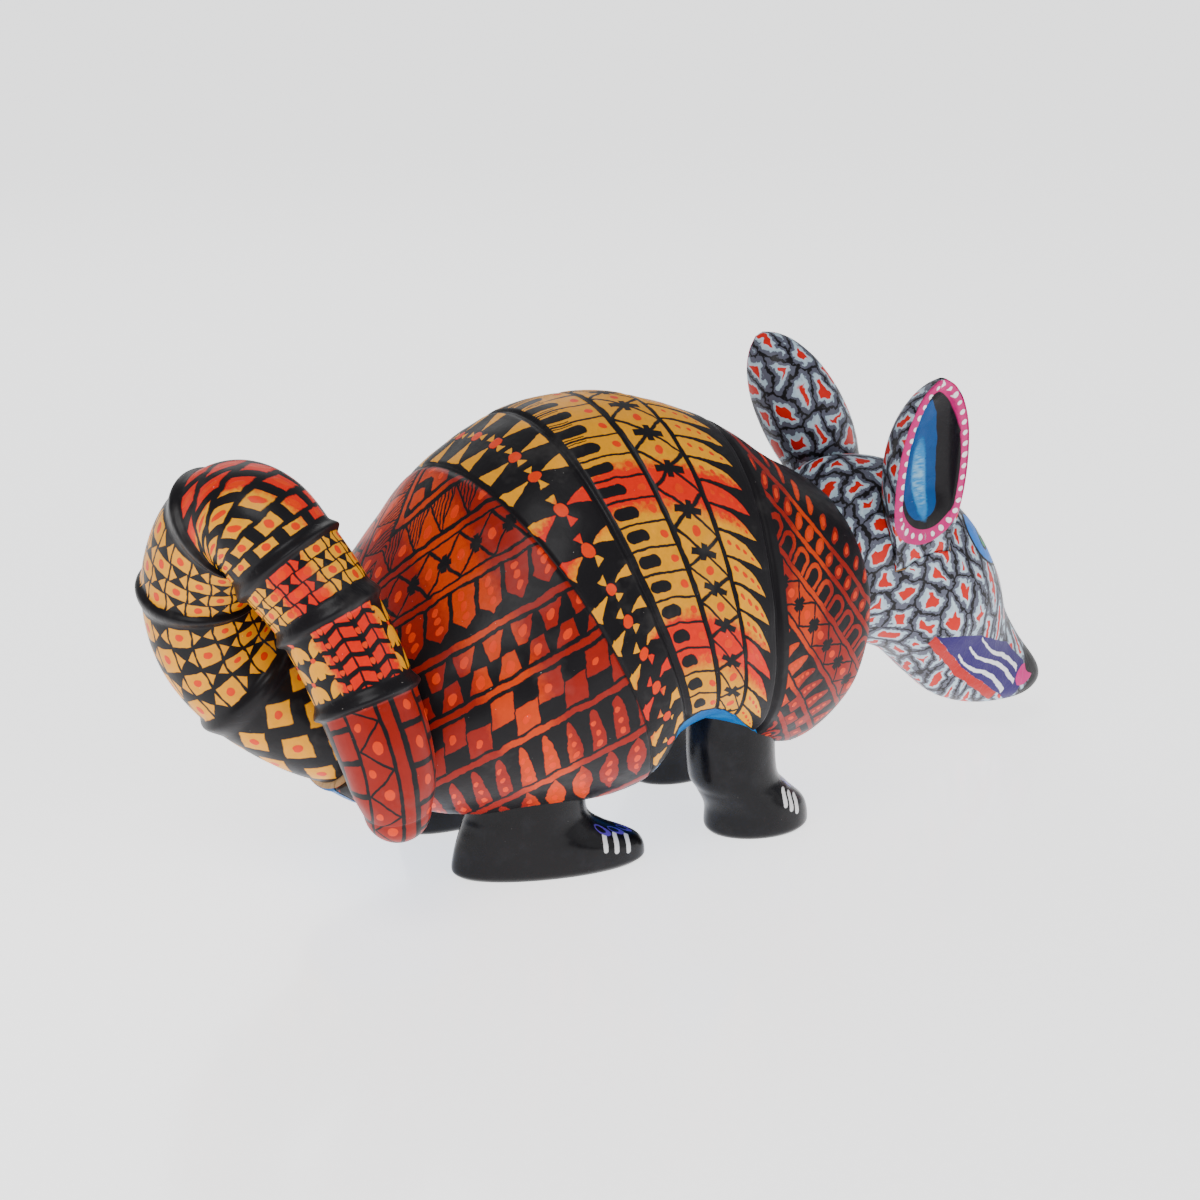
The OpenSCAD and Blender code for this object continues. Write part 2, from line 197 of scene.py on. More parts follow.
def loft(name, grid, layers, materials, slots, start_slot, end_slot, cap=3):
    """Skin over rings (rows, columns + 1, 3) whose last column repeats the first; flat ends.
    Each layer holds the values at the four corners of every face."""
    m, n = grid.shape[0], grid.shape[1] - 1
    vertices = [grid[:, :n].reshape(-1, 3)]
    rows, cols = np.meshgrid(np.arange(m - 1), np.arange(n), indexing="ij")
    a, b = rows * n + cols, rows * n + (cols + 1) % n
    quads = np.stack([a, b, b + n, a + n], -1).reshape(-1, 4)
    faces, face_slots = quads.tolist(), slots.reshape(-1).tolist()
    uvs = {k: [w.reshape(-1, 2)] for k, w in layers.items()}
    count, j = m * n, np.arange(n)
    for row, slot_index in ((0, start_slot), (m - 1, end_slot)):
        ring, centre = grid[row, :n], grid[row, :n].mean(0)
        turn = slice(None, None, -1) if row == 0 else slice(None)
        at, c0, c1 = (0, 0, 1) if row == 0 else (-1, 3, 2)
        ends = {k: (w[at, :, c0], w[at, :, c1]) for k, w in layers.items()}
        previous = row * n
        for k in range(1, cap + 1):
            vertices.append(centre + (ring - centre) * (1 - k / (cap + 0.5)))
            q = np.stack([previous + j, previous + (j + 1) % n, count + (j + 1) % n, count + j], -1)
            faces += q[:, turn].tolist()
            face_slots += [slot_index] * n
            for key, (p0, p1) in ends.items():
                uvs[key].append(np.stack([p0, p1, p1, p0], 1)[:, turn].reshape(-1, 2))
            previous, count = count, count + n
        vertices.append(centre[None])
        t = np.stack([previous + j, previous + (j + 1) % n, np.full(n, count)], -1)
        faces += t[:, turn].tolist()
        face_slots += [slot_index] * n
        for key, (p0, p1) in ends.items():
            uvs[key].append(np.stack([p0, p1, p0], 1)[:, turn].reshape(-1, 2))
        count += 1
    vertices = np.concatenate(vertices)
    # turn the whole skin round if it came out inside out
    p0, p1, p2, p3 = (vertices[quads[:, i]] for i in range(4))
    volume = np.sum(np.cross(p1 - p0, p2 - p0) * p0) + np.sum(np.cross(p2 - p0, p3 - p0) * p0)
    if volume < 0:
        sizes = np.array([len(f) for f in faces])
        faces = [f[::-1] for f in faces]
        last = np.repeat(np.cumsum(sizes) - 1, sizes)
        order = last - (np.arange(len(last)) - np.repeat(np.cumsum(sizes) - sizes, sizes))
        uvs = {k: [np.concatenate(p)[order]] for k, p in uvs.items()}
    return make_object(name, vertices, faces, materials, face_slots,
                       {k: np.concatenate(p) for k, p in uvs.items()})


def corners(w):
    """Values on a grid (rows, columns + 1) as the four corners of each face."""
    return np.stack([w[:-1, :-1], w[:-1, 1:], w[1:, 1:], w[1:, :-1]], 2)


def layer(a, b):
    """Two values on a grid as one layer of corner pairs."""
    return corners(np.stack(np.broadcast_arrays(a, b), -1))


# ---------------------------------------------------------------- body

# Rows of the grooves between the shell's bands, and their depth
RINGS = (5, 6, 7, 8, 9)
GROOVES = (0.45, 0.6, 0.5, 0.5, 0.75)
BODY_END = len(BODY) - 1
# Painted rows on the rump and the chest: the row number at the drawing's zero, and what each
# mm forward, out and up adds to it; then the mm along a row that each mm forward, out and up adds
RUMP_ROWS, RUMP_RUN = (7.439, 0.03093, -0.06727, -0.07573), (0.78, -0.33, 0.52)
CHEST_ROWS, CHEST_RUN = (10.61, -0.1180, -0.0130, -0.0823), (0.57, 0, -0.82)
# How the rump's rows bend down with the square of the mm out, and where their V has its point
RUMP_BEND, RUMP_V = 0.00053, 5
CHEST_FROM = 7


def slant(place, start, *rise):
    """A value that changes evenly with each of a place's three coordinates."""
    return start + sum(r * v for r, v in zip(rise, place))


def body_piece(materials):
    """Shell and belly in one skin: six regions of shell paint, then the belly's."""
    u = np.linspace(0, BODY_END, 131)
    for ring in RINGS:
        u = np.concatenate([u, ring + np.linspace(-0.13, 0.13, 19)])
    u = np.unique(np.round(u, 4))
    w = np.concatenate([np.linspace(0, 0.97, 84), [0.98, 0.988, 0.994, 1, 1.02, 1.04, 1.07, 1.12],
                        np.linspace(1.2, 2, 12)])
    w = np.concatenate([-w[:0:-1], w])
    edge = np.radians(np.interp(u, SHELL_EDGE[:, 0], SHELL_EDGE[:, 1]))[:, None]
    reach = np.abs(w)[None, :]
    a = np.where(reach <= 1, edge * reach, edge + (PI - edge) * (reach - 1)) * np.sign(w)[None, :]
    rows = row_at(BODY, u)[:, None, :] * np.ones((1, len(w), 1))
    base = hoop(rows, a, 0.07)
    n = normals(base)
    around = lengths(base, 1)
    s = around - around[:, len(w) // 2][:, None]
    at_edge = np.interp(1.0, w, np.arange(len(w)))
    s_edge = 0.5 * (s[:, int(at_edge)] - s[:, len(w) - 1 - int(at_edge)])[:, None]
    edge_gap = s_edge - np.abs(s)
    along = lengths(base, 0)
    ring_rows = [int(np.argmin(np.abs(u - r))) for r in (0,) + RINGS + (BODY_END,)]
    # grooves along the rings, the shell standing proud of the belly, soft hand carving
    shell = smooth(edge_gap, -0.1, 0.5)
    relief = np.zeros(a.shape)
    for row, depth in zip(ring_rows[1:], GROOVES):
        gap = np.abs(along - along[row][None, :])
        relief -= depth * shell * np.exp(-(gap / 0.75) ** 2)
    relief -= 1.0 * smooth(-edge_gap, 0, 0.9) * smooth(u, 0, 1.5)[:, None]
    relief -= 0.25 * np.exp(-np.abs(edge_gap) / 0.5) * (edge_gap > 0)
    relief += 0.10 * np.sin(base[..., 0] * 0.55 + 2 * np.sin(base[..., 1] * 0.21)) * np.sin(
        base[..., 2] * 0.47 + base[..., 1] * 0.18) * smooth(u, 0, 1)[:, None]
    grid = base + relief[..., None] * n
    # region of each face
    um = (u[1:] + u[:-1]) / 2
    wm = np.abs((w[1:] + w[:-1]) / 2)
    region = np.clip(np.searchsorted(RINGS, um), 0, 5)[:, None] * np.ones((1, len(wm)), int)
    slots = np.where(wm[None, :] > 1, 6, region)
    start = along[ring_rows[:-1]]
    end = along[ring_rows[1:]]
    column = np.arange(len(wm))[None, :, None] + np.array([0, 1, 1, 0])
    first = start[region[..., None], column]
    total = (end - start)[region[..., None], column]
    # lean of the bands: cosine of the corner between a ring and the lines across it
    lean = np.sum(unit(np.gradient(base, axis=0)) * unit(np.gradient(base, axis=1)), -1)
    lean = lean * np.sign(w)[None, :]
    t = np.clip(s / s_edge, -1.5, 1.5)
    # number of the slanting row a point lies in, and mm along that row, at the rump and the chest
    uu = u[:, None] * np.ones_like(s)
    x, y, z = np.moveaxis(base, -1, 0)
    out, rump = RUMP_V - np.abs(y - RUMP_V), uu < CHEST_FROM
    stripe = np.where(rump, slant((x, out, z), *RUMP_ROWS) - RUMP_BEND * out * out,
                      slant((x, np.abs(y), z), *CHEST_ROWS))
    run = np.where(rump, slant((x, out, z), 0, *RUMP_RUN), slant((x, np.abs(y), z), 0, *CHEST_RUN))
    layers = {
        "paint": layer(t, uu),
        "plate": np.stack([corners(s), corners(along) - first], -1),
        "size": np.stack([total, corners(edge_gap)], -1),
        "rows": np.where((region % 5 == 0)[..., None, None], layer(stripe, run),
                         layer(lean, np.sqrt(1 - lean ** 2))),
    }
    return loft("armadillo_body", grid, layers, materials, slots, 7, 5)


# ---------------------------------------------------------------- head

def from_head(p):
    """Points of the head's own frame, x forward from the collar, in the drawing's."""
    c, s = math.cos(YAW), math.sin(YAW)
    return np.stack([COLLAR[0] + p[..., 0] * c - p[..., 1] * s,
                     p[..., 0] * s + p[..., 1] * c, p[..., 2]], -1)


def neck_ring(x, a):
    """Ring of the round neck."""
    return np.stack([np.full_like(a, x), NECK_R * np.sin(a), NECK_Z + NECK_R * np.cos(a)], -1)


def head_base(u, a):
    """Hoops of the skull and snout."""
    rows = row_at(HEAD, u)[:, None, :] * np.ones((1, len(a), 1))
    return hoop(rows, a[None, :] * np.ones((len(u), 1)), 0)


def head_piece(materials):
    """Neck, skull and snout in one skin."""
    a = np.linspace(-PI, PI, 193)
    u = np.linspace(0.75, 8, 175)
    neck = np.stack([neck_ring(x, a) for x in (-NECK_IN, -4.5, -2, 0, 2, 4)])
    local = np.concatenate([neck, head_base(u, a)])
    uu = np.concatenate([np.linspace(-0.5, 0.55, len(neck)), u])[:, None]
    grid = from_head(local)
    around = lengths(grid, 1)
    layers = {
        "paint": layer(a / (2 * PI), uu),
        "plate": layer(around - around[:, len(a) // 2][:, None], lengths(grid, 0)),
        "size": layer(local[..., 0], local[..., 2]),
        "rows": layer(local[..., 1], local[..., 2]),
    }
    slots = np.zeros((len(grid) - 1, len(a) - 1), int)
    return loft("armadillo_head", grid, layers, materials, slots, 1, 0)


# ---------------------------------------------------------------- tail

def lip(u):
    """Rise of the tail's lips, 0 to 1: slow before each, quick after it."""
    out = np.zeros_like(u)
    for at in LIPS:
        d = (u - at) / 0.28
        out = np.maximum(out, np.where(d < 0, np.clip(1 + d, 0, 1), np.clip(1 - 2 * d, 0, 1)))
    return out * out * (3 - 2 * out)


def tail_frame(u):
    """Rows of the tail at u, with the directions along it, to its side and up."""
    rows = row_at(TAIL, u)
    ahead, behind = row_at(TAIL, u + 0.02), row_at(TAIL, u - 0.02)
    along = unit(ahead[:, :3] - behind[:, :3])
    along[u < 0.02] = ROOT_AXIS
    y = np.array([0.0, 1.0, 0.0])
    side = unit(y[None] - along * along[:, 1:2])
    up = np.cross(side, along)
    return rows, along, side, up


TAIL_R = 11.5
TIP_STEPS = 16
TIP_TURN = math.radians(85) / TIP_STEPS


def tail_piece(materials):
    """Coiled tail, one paint for each ring."""
    last = len(TAIL) - 1
    u = np.linspace(0, last, 561)
    rows, along, side, up = tail_frame(u)
    a = np.linspace(-PI / 2, 1.5 * PI, 129)
    out = np.cos(a)[None, :, None] * up[:, None] - np.sin(a)[None, :, None] * side[:, None]
    r = rows[:, 3] + LIP_H * lip(u)
    grid = rows[:, None, :3] + r[:, None, None] * out
    # rounded tip
    end, end_r = rows[-1, :3], rows[-1, 3]
    steps = np.arange(1, TIP_STEPS + 1)
    ahead, inward = end_r * np.sin(TIP_TURN * steps), end_r * np.cos(TIP_TURN * steps)
    tip = end + ahead[:, None, None] * along[-1] + inward[:, None, None] * out[-1]
    grid = np.concatenate([grid, tip])
    travel = np.concatenate([[0], np.cumsum(np.linalg.norm(np.diff(rows[:, :3], axis=0), axis=1))])
    travel = np.concatenate([travel, travel[-1] + ahead])
    uu = np.concatenate([u, last + steps / TIP_STEPS])
    borders = np.interp((0,) + LIPS + (last + 1,), uu, travel)
    part = np.searchsorted(LIPS, (uu[1:] + uu[:-1]) / 2)
    first, total = borders[part], borders[part + 1] - borders[part]
    wide = np.ones((len(uu), len(a)))
    length = corners(travel[:, None] * wide)
    around = corners(a * TAIL_R * wide)
    radius = np.concatenate([r, r[-1] * np.cos(TIP_TURN * steps)])
    layers = {
        "paint": layer(a / (2 * PI), uu[:, None]),
        "plate": np.stack([around, length - first[:, None, None]], -1),
        "size": np.stack([total[:, None, None] * np.ones_like(length), np.ones_like(length)], -1),
        "rows": layer(radius[:, None] * wide, travel[:, None]),
    }
    slots = part[:, None] * np.ones((1, len(a) - 1), int)
    return loft("armadillo_tail", grid, layers, materials, slots, 7, 6)


# ---------------------------------------------------------------- ears

def ear_frame(ear):
    """Foot, and the directions across, out of the cup and up an ear, and its length."""
    foot, tip = np.array(ear[0], float), np.array(ear[1], float)
    up = unit(tip - foot)
    heading = np.array([math.cos(math.radians(ear[2])), math.sin(math.radians(ear[2])), 0.0])
    face = unit(heading - up * np.dot(heading, up))
    return foot, np.cross(face, up), face, up, float(np.linalg.norm(tip - foot))


def rim_place(x, z, length):
    """Distance in from the cup's oval border, and the place along that border, in mm."""
    v = np.linspace(2.6, 8, 240)
    r = row_at(EAR, v)
    foot_turn = np.linspace(-PI / 2, 0, 90)[:-1]
    w0, z0, drop = r[0, 1], r[0, 0] * length, 0.21 * length
    half = np.concatenate([np.stack([w0 * np.cos(foot_turn), z0 + drop * np.sin(foot_turn)], 1),
                           np.stack([r[:, 1], r[:, 0] * length], 1)])
    oval = np.concatenate([half, half[::-1] * [-1, 1]])
    travel = np.concatenate([[0], np.cumsum(np.linalg.norm(np.diff(oval, axis=0), axis=1))])
    points = np.stack([x, z], -1).reshape(-1, 2)
    rim, run = np.zeros(len(points)), np.zeros(len(points))
    for i in range(0, len(points), 2000):
        gap = np.linalg.norm(points[i:i + 2000, None] - oval[None], axis=2)
        k = gap.argmin(1)
        rim[i:i + 2000], run[i:i + 2000] = gap[np.arange(len(k)), k], travel[k]
    row_w = np.interp(z.reshape(-1), half[:, 1], half[:, 0])
    outside = (np.abs(points[:, 0]) > row_w + 0.01) | (points[:, 1] < half[0, 1])
    rim = np.where(outside, -rim, rim)
    return rim.reshape(x.shape), run.reshape(x.shape)


def ear_piece(name, ear, materials):
    """Leaf-shaped ear with a cup in its face."""
    foot, across, face, up, length = ear_frame(ear)
    u = np.concatenate([np.linspace(0, 7, 99), 7 + (1 - np.cos(np.linspace(0, PI / 2, 16)[1:]))])
    u = np.minimum(u, 8)
    rows = row_at(EAR, u)
    w, t, depth = rows[:, 1:2], rows[:, 2:3], rows[:, 3:4]
    inner = np.maximum(w - EAR_RIM, 0.1)
    back = np.linspace(0, PI, 65)
    front = -np.cos(np.linspace(0, PI, 65)[1:])
    x = np.concatenate([w * np.cos(back), w * front], 1)
    hollow = depth * np.sqrt(np.clip(1 - (x / inner) ** 2, 0, 1))
    soft = 0.35 * np.exp(-(w - np.abs(x)) / 0.5)
    y = np.concatenate([-t * np.sin(back), np.zeros((len(u), 64))], 1)
    is_front = np.concatenate([np.zeros(65), np.ones(64)])[None, :] * np.ones_like(x)
    y = np.where(is_front > 0, -hollow - soft * (hollow == 0) * smooth(rows[:, :1], 0.25, 0.4), y)
    y[:, -1] = y[:, 0]
    z = length * rows[:, :1] * np.ones_like(x)
    grid = foot + x[..., None] * across + y[..., None] * face + z[..., None] * up
    rim, run = rim_place(x, z, length)
    around = lengths(grid, 1)
    layers = {
        "paint": layer(x / 20, rows[:, :1]),
        "plate": layer(around - around[:, 32][:, None], z),
        "size": layer(rim, run),
        "rows": layer(x, z),
    }
    slots = np.zeros((len(u) - 1, x.shape[1] - 1), int)
    slots[:, 64:] = 1
    return loft(name, grid, layers, materials, slots, 2, 0)


# ---------------------------------------------------------------- legs and dowels

def leg_point(p, at, side):
    """Points of a leg's own frame, in the drawing's; side is -1 on the right, 1 on the left."""
    b = math.radians(side * at[2])
    return np.stack([at[0] + p[..., 0] * math.cos(b) - p[..., 1] * math.sin(b),
                     side * at[1] + p[..., 0] * math.sin(b) + p[..., 1] * math.cos(b),
                     p[..., 2]], -1)


def leg_piece(name, rows, at, side, materials):
    """Leg and foot in one skin of ellipses."""
    u = np.linspace(0, len(rows) - 1, 109)
    r = row_at(rows, u)
    a = np.linspace(-PI, PI, 129)
    x = r[:, 1:2] + r[:, 2:3] * np.cos(a)[None, :]
    y = r[:, 3:4] * np.sin(a)[None, :]
    z = r[:, :1] * np.ones_like(x)
    local = np.stack([x, y, z], -1)
    grid = leg_point(local, at, side)
    layers = {"size": layer(x, y), "rows": layer(x, z)}
    slots = np.zeros((len(u) - 1, len(a) - 1), int)
    return loft(name, grid, layers, materials, slots, 0, 1)


def spokes(axis, a):
    """A unit axis, and the directions across it at the angles a."""
    axis = unit(axis)
    other = unit(np.cross(axis, [0.3, 0.9, 0.1]))
    return axis, np.cos(a)[:, None] * other + np.sin(a)[:, None] * np.cross(axis, other)


def bar(name, start, axis, r, length, materials, flutes=0, sides=64):
    """Turned bar from start along axis, ends chamfered, shallow glue flutes along it."""
    a = np.linspace(-PI, PI, sides + 1)
    axis, out = spokes(axis, a)
    end = np.array([0, 0.25, 0.5])
    h = np.concatenate([end, np.linspace(0.9, length - 0.9, 25), length - end[::-1]])
    rr = r - np.clip(0.5 - h, 0, 0.5) - np.clip(h - (length - 0.5), 0, 0.5)
    groove = 0.12 * np.clip(np.cos(a * flutes) * 3 - 2, 0, 1) if flutes else 0 * a
    radius = rr[:, None] - groove[None, :] * smooth(h, 1, 2)[:, None] * smooth(length - h, 1, 2)[:, None]
    grid = np.asarray(start) + h[:, None, None] * axis + radius[..., None] * out
    layers = {"plate": layer(a * r, h[:, None])}
    return loft(name, grid, layers, materials, np.zeros((len(h) - 1, sides), int), 0, 0)


def cutter(start, axis, r, length, material):
    """Plain round cutter for a socket, lined with bare wood."""
    a = np.linspace(0, 2 * PI, 73)
    axis, out = spokes(axis, a)
    grid = np.stack([np.asarray(start) + h * axis + r * out for h in (0, length)])
    layers = {"plate": layer(a * r, [[0], [length]])}
    return loft("cutter", grid, layers, [material], np.zeros((1, 72), int), 0, 0, cap=1)


def seat_cutter(ear, material):
    """Cutter for the seat that an ear pulls out of."""
    foot, across, face, up, length = ear_frame(ear)
    rows = row_at(EAR, np.linspace(0, EAR_SEAT, 25))
    a = np.linspace(0, 2 * PI, 97)
    rings = []
    for i, r in enumerate(rows):
        x = (r[1] + PLUG_GAP) * np.cos(a)
        y = PLUG_GAP - np.maximum((r[2] + 2 * PLUG_GAP) * np.sin(a), 0)
        z = -PLUG_GAP if i == 0 else length * r[0]
        rings.append(foot + x[:, None] * across + y[:, None] * face + z * up)
    rings.append(rings[-1] + (length - length * rows[-1][0]) * up)
    grid = np.array(rings)
    layers = {"plate": layer(lengths(grid, 1), lengths(grid, 0))}
    return loft("cutter", grid, layers, [material], np.zeros((len(grid) - 1, 96), int), 0, 0, cap=1)


def carve(obj, cutters):
    """Cuts away the cutters and throws them out."""
    for c in cutters:
        m = obj.modifiers.new("cut", "BOOLEAN")
        m.object, m.operation, m.solver, m.material_mode = c, "DIFFERENCE", "MANIFOLD", "TRANSFER"
    bpy.context.view_layer.update()
    done = bpy.data.meshes.new_from_object(obj.evaluated_get(bpy.context.evaluated_depsgraph_get()))
    obj.modifiers.clear()
    obj.data = done
    for c in cutters:
        bpy.data.objects.remove(c)


# ---------------------------------------------------------------- painted patterns

def lin(r, g, b):
    """Linear colour from 8-bit sRGB values."""
    return tuple(((c / 255 + 0.055) / 1.055) ** 2.4 if c > 10 else c / 255 / 12.92 for c in (r, g, b))


class Val:
    """A shader value that can be written as plain arithmetic."""

    def __init__(self, paint, socket):
        self.paint, self.socket = paint, socket

    def __add__(self, o): return self.paint.math("ADD", self, o)
    def __radd__(self, o): return self.paint.math("ADD", o, self)
    def __sub__(self, o): return self.paint.math("SUBTRACT", self, o)
    def __rsub__(self, o): return self.paint.math("SUBTRACT", o, self)
    def __mul__(self, o): return self.paint.math("MULTIPLY", self, o)
    def __rmul__(self, o): return self.paint.math("MULTIPLY", o, self)
    def __truediv__(self, o): return self.paint.math("DIVIDE", self, o)
    def __neg__(self): return self.paint.math("MULTIPLY", self, -1.0)
    def __abs__(self): return self.paint.math("ABSOLUTE", self)


class Paint:
    """One painted material: patterns are laid over each other with coat()."""

    def __init__(self, name, ground, rough=0.42, wobble=0.22):
        self.material = bpy.data.materials.new(name)
        self.material.use_nodes = True
        self.tree = self.material.node_tree
        self.bsdf = self.tree.nodes["Principled BSDF"]
        self.rough = rough
        self.place = self.node("TexCoord").outputs["Object"]
        self.relief = None
        self.hand = self.noise3(260, 2)
        self.fine = self.noise3(1100, 2)
        self.wobble = wobble
        self.color = self.blend(ground, tuple(c * 0.8 for c in ground), self.noise(500, 3))

    def put(self, socket, v):
        if isinstance(v, Val):
            self.tree.links.new(v.socket, socket)
        elif isinstance(v, bpy.types.NodeSocket):
            self.tree.links.new(v, socket)
        else:
            socket.default_value = v

    def math(self, kind, *args):
        n = self.node("Math")
        n.operation = kind
        for i, v in enumerate(args):
            self.put(n.inputs[i], v)
        return Val(self, n.outputs[0])

    def node(self, kind, **inputs):
        """A new node with its inputs set or linked."""
        n = self.tree.nodes.new("ShaderNode" + kind)
        for key, v in inputs.items():
            self.put(n.inputs[key], v)
        return n

    def pair(self, x, y):
        return self.node("CombineXYZ", X=x, Y=y).outputs[0]

    def uv(self, name):
        """The two values of a layer."""
        n = self.node("UVMap")
        n.uv_map = name
        s = self.node("SeparateXYZ", Vector=n.outputs[0])
        return Val(self, s.outputs[0]), Val(self, s.outputs[1])

    def noise(self, scale, detail=2.0, rough=0.5, stretch=None):
        where = self.place
        if stretch:
            where = self.node("Mapping", Vector=where, Scale=stretch).outputs[0]
        n = self.node("TexNoise", Vector=where, Scale=scale, Detail=detail, Roughness=rough)
        return Val(self, n.outputs["Fac"])

    def noise3(self, scale, detail=2.0):
        """Three separate noises."""
        n = self.node("TexNoise", Vector=self.place, Scale=scale, Detail=detail)
        s = self.node("SeparateColor", Color=n.outputs["Color"])
        return [Val(self, o) for o in s.outputs[:3]]

    def near(self, x, y, amount=1.0):
        """Hand-drawn version of a coordinate pair in mm."""
        k = self.wobble * amount
        return (x + (self.hand[0] - 0.5) * (6 * k) + (self.fine[0] - 0.5) * (1.6 * k),
                y + (self.hand[1] - 0.5) * (6 * k) + (self.fine[1] - 0.5) * (1.6 * k))

    def random(self, *at):
        """Random value of a cell, from its one or two numbers."""
        n = self.node("TexWhiteNoise")
        n.noise_dimensions = str(len(at)) + "D"
        if len(at) == 1:
            self.put(n.inputs["W"], at[0])
        else:
            self.put(n.inputs["Vector"], self.pair(*at))
        return Val(self, n.outputs["Value"])

    def floor(self, v): return self.math("FLOOR", v)
    def fract(self, v): return self.math("FRACT", v)
    def sqrt(self, v): return self.math("SQRT", v)
    def hypot(self, x, y): return self.sqrt(x * x + y * y)

    def min(self, a, *rest):
        for b in rest:
            a = self.math("MINIMUM", a, b)
        return a

    def max(self, a, *rest):
        for b in rest:
            a = self.math("MAXIMUM", a, b)
        return a

    def clamp(self, v):
        out = self.math("ADD", v, 0.0)
        out.socket.node.use_clamp = True
        return out

    def ramp(self, v, lo, hi):
        """0 below lo, 1 above hi; also falls when lo > hi."""
        return self.clamp((v - lo) / (hi - lo))

    def inside(self, d, soft=0.14):
        """Cover of a shape from its signed distance in mm, negative inside."""
        return self.clamp(0.5 - d / soft)

    def cell(self, x, pitch):
        """Place in mm from the middle of a repeated cell, and the cell's number."""
        q = x / pitch
        return (self.fract(q) - 0.5) * pitch, self.floor(q)

    def again(self, x, pitch):
        """Place in mm from the middle of a repeated cell."""
        return self.cell(x, pitch)[0]

    def spots(self, x, y, *places):
        """Distance to the nearest of several dots, each given as place and radius."""
        return self.min(*(self.hypot(x - px, y - py) - r for px, py, r in places))

    def blend(self, a, b, share):
        """Mix of two colours, each a tuple or a socket."""
        n = self.node("Mix")
        n.data_type = "RGBA"
        self.put(n.inputs[0], share)
        for i, v in ((6, a), (7, b)):
            self.put(n.inputs[i], (*v[:3], 1) if isinstance(v, tuple) else v)
        return n.outputs[2]

    def fill(self, color, d, lift=0.02):
        """Paints a shape, given as signed distance."""
        self.coat(color, self.inside(d), lift)

    def coat(self, color, cover, lift=0.02):
        """Lays paint over what is there; color is a tuple or a socket."""
        self.color = self.blend(self.color, color, cover)
        if lift:
            step = cover * lift
            self.relief = step if self.relief is None else self.relief + step

    def finish(self, streak=None, wear=0.5, grain=1.0, gloss=0.06):
        """Brush streaks, rubbed spots, carving marks, satin sheen."""
        along = self.noise(900, 3, 0.6, streak or (0.35, 1.0, 0.35))
        tone = self.ramp(along, 0.25, 0.8)
        self.color = self.blend(self.color, (0.0, 0.0, 0.0), tone * 0.16)
        rubbed = self.ramp(self.noise(60, 4, 0.7), 0.55, 0.9)
        self.color = self.blend(self.color, (0.9, 0.85, 0.8), rubbed * (0.10 * wear))
        specks = self.ramp(self.noise(1500, 1), 0.80, 0.84)
        self.color = self.blend(self.color, (0.8, 0.75, 0.7), specks * (0.5 * wear))
        rough = self.rough + (self.noise(180, 3) - 0.5) * 0.22 + (along - 0.5) * 0.18
        height = (along - 0.5) * (0.035 * grain) + (self.noise(260, 4, 0.6) - 0.5) * (0.10 * grain)
        if self.relief is not None:
            height = height + self.relief
        bump = self.node("Bump", Strength=0.8, Distance=0.001, Height=height)
        for key, v in {"Normal": bump.outputs[0], "Base Color": self.color, "Roughness": rough,
                       "Specular IOR Level": 0.12, "Coat Weight": gloss, "Coat Roughness": 0.18}.items():
            self.put(self.bsdf.inputs[key], v)
        return self.material


INK = lin(24, 22, 25)
MUSTARD = lin(246, 164, 0)
RED = lin(232, 34, 4)
BRICK = lin(152, 29, 18)
ORANGE = lin(212, 62, 0)
DOT = lin(236, 58, 0)
SKY = lin(0, 104, 180)


def band(name, ground):
    """A band's paint, with the share of the way down its side, the place across it,
    its width, and the distance to the shell's lower edge, in mm."""
    p = Paint(name, ground)
    total, edge = p.uv("size")
    return p, abs(p.uv("paint")[0]), p.uv("plate")[1], total, edge


def wheel_band(name):
    """Band 1: pinwheels of four wedges round a dot, on black."""
    p, flip, w, total, edge = band(name, INK)
    q = flip * 12
    x = p.again(q - p.ramp(q, 2.6, 6.2), 1.0)
    x, y = across_band(p, x * 7.6, w - total * 0.52)
    x, y = p.near(x, y, 0.8)
    # turned a little against the band
    x, y = x * 0.985 - y * 0.17, y * 0.985 + x * 0.17
    wide = p.max(abs(x) - (abs(y) - 1.4) * 0.30, 1.8 - abs(y), abs(y) - total * 0.44)
    tall = p.max(abs(y) - (abs(x) - 1.1) * 0.60, 1.3 - abs(x), abs(x) - 2.9)
    shell = p.inside(1.0 - edge)
    p.coat(p.blend(MUSTARD, RED, zones(p, flip)), p.inside(p.min(wide, tall)) * shell)
    dot = p.hypot(x, y) - (1.0 - flip * 0.30) * 1.45
    p.coat(DOT, p.inside(dot) * shell, 0.05)
    rims(p, w, total, edge, 0.5, 1.2)
    return p.finish((1.0, 0.3, 1.0), 0.6, 1.3)


def across_band(p, x, y):
    """True place, in mm, of a point x along the leaning ring and y across the band."""
    lean, rest = p.uv("rows")
    return x * rest, y + x * lean


def zones(p, t):
    """The two red zones of the middle bands, soft and brushy at their edges."""
    v = t + (p.fine[2] - 0.5) * 0.05 + (p.hand[2] - 0.5) * 0.03
    first = p.ramp(v, 0.285, 0.315) * p.ramp(v, 0.45, 0.41)
    second = p.ramp(v, 0.70, 0.73) * p.ramp(v, 0.865, 0.82)
    return p.max(first, second)


def rims(p, w, total, edge, rear, front):
    """Black lines along the two borders of a band and along the shell's lower edge."""
    wob = (p.hand[2] - 0.5) * 0.7
    d = p.min(w - rear + wob, total - w - front + wob)
    p.fill(INK, d, -0.02)
    p.fill(INK, edge - 0.35 + wob, 0.0)


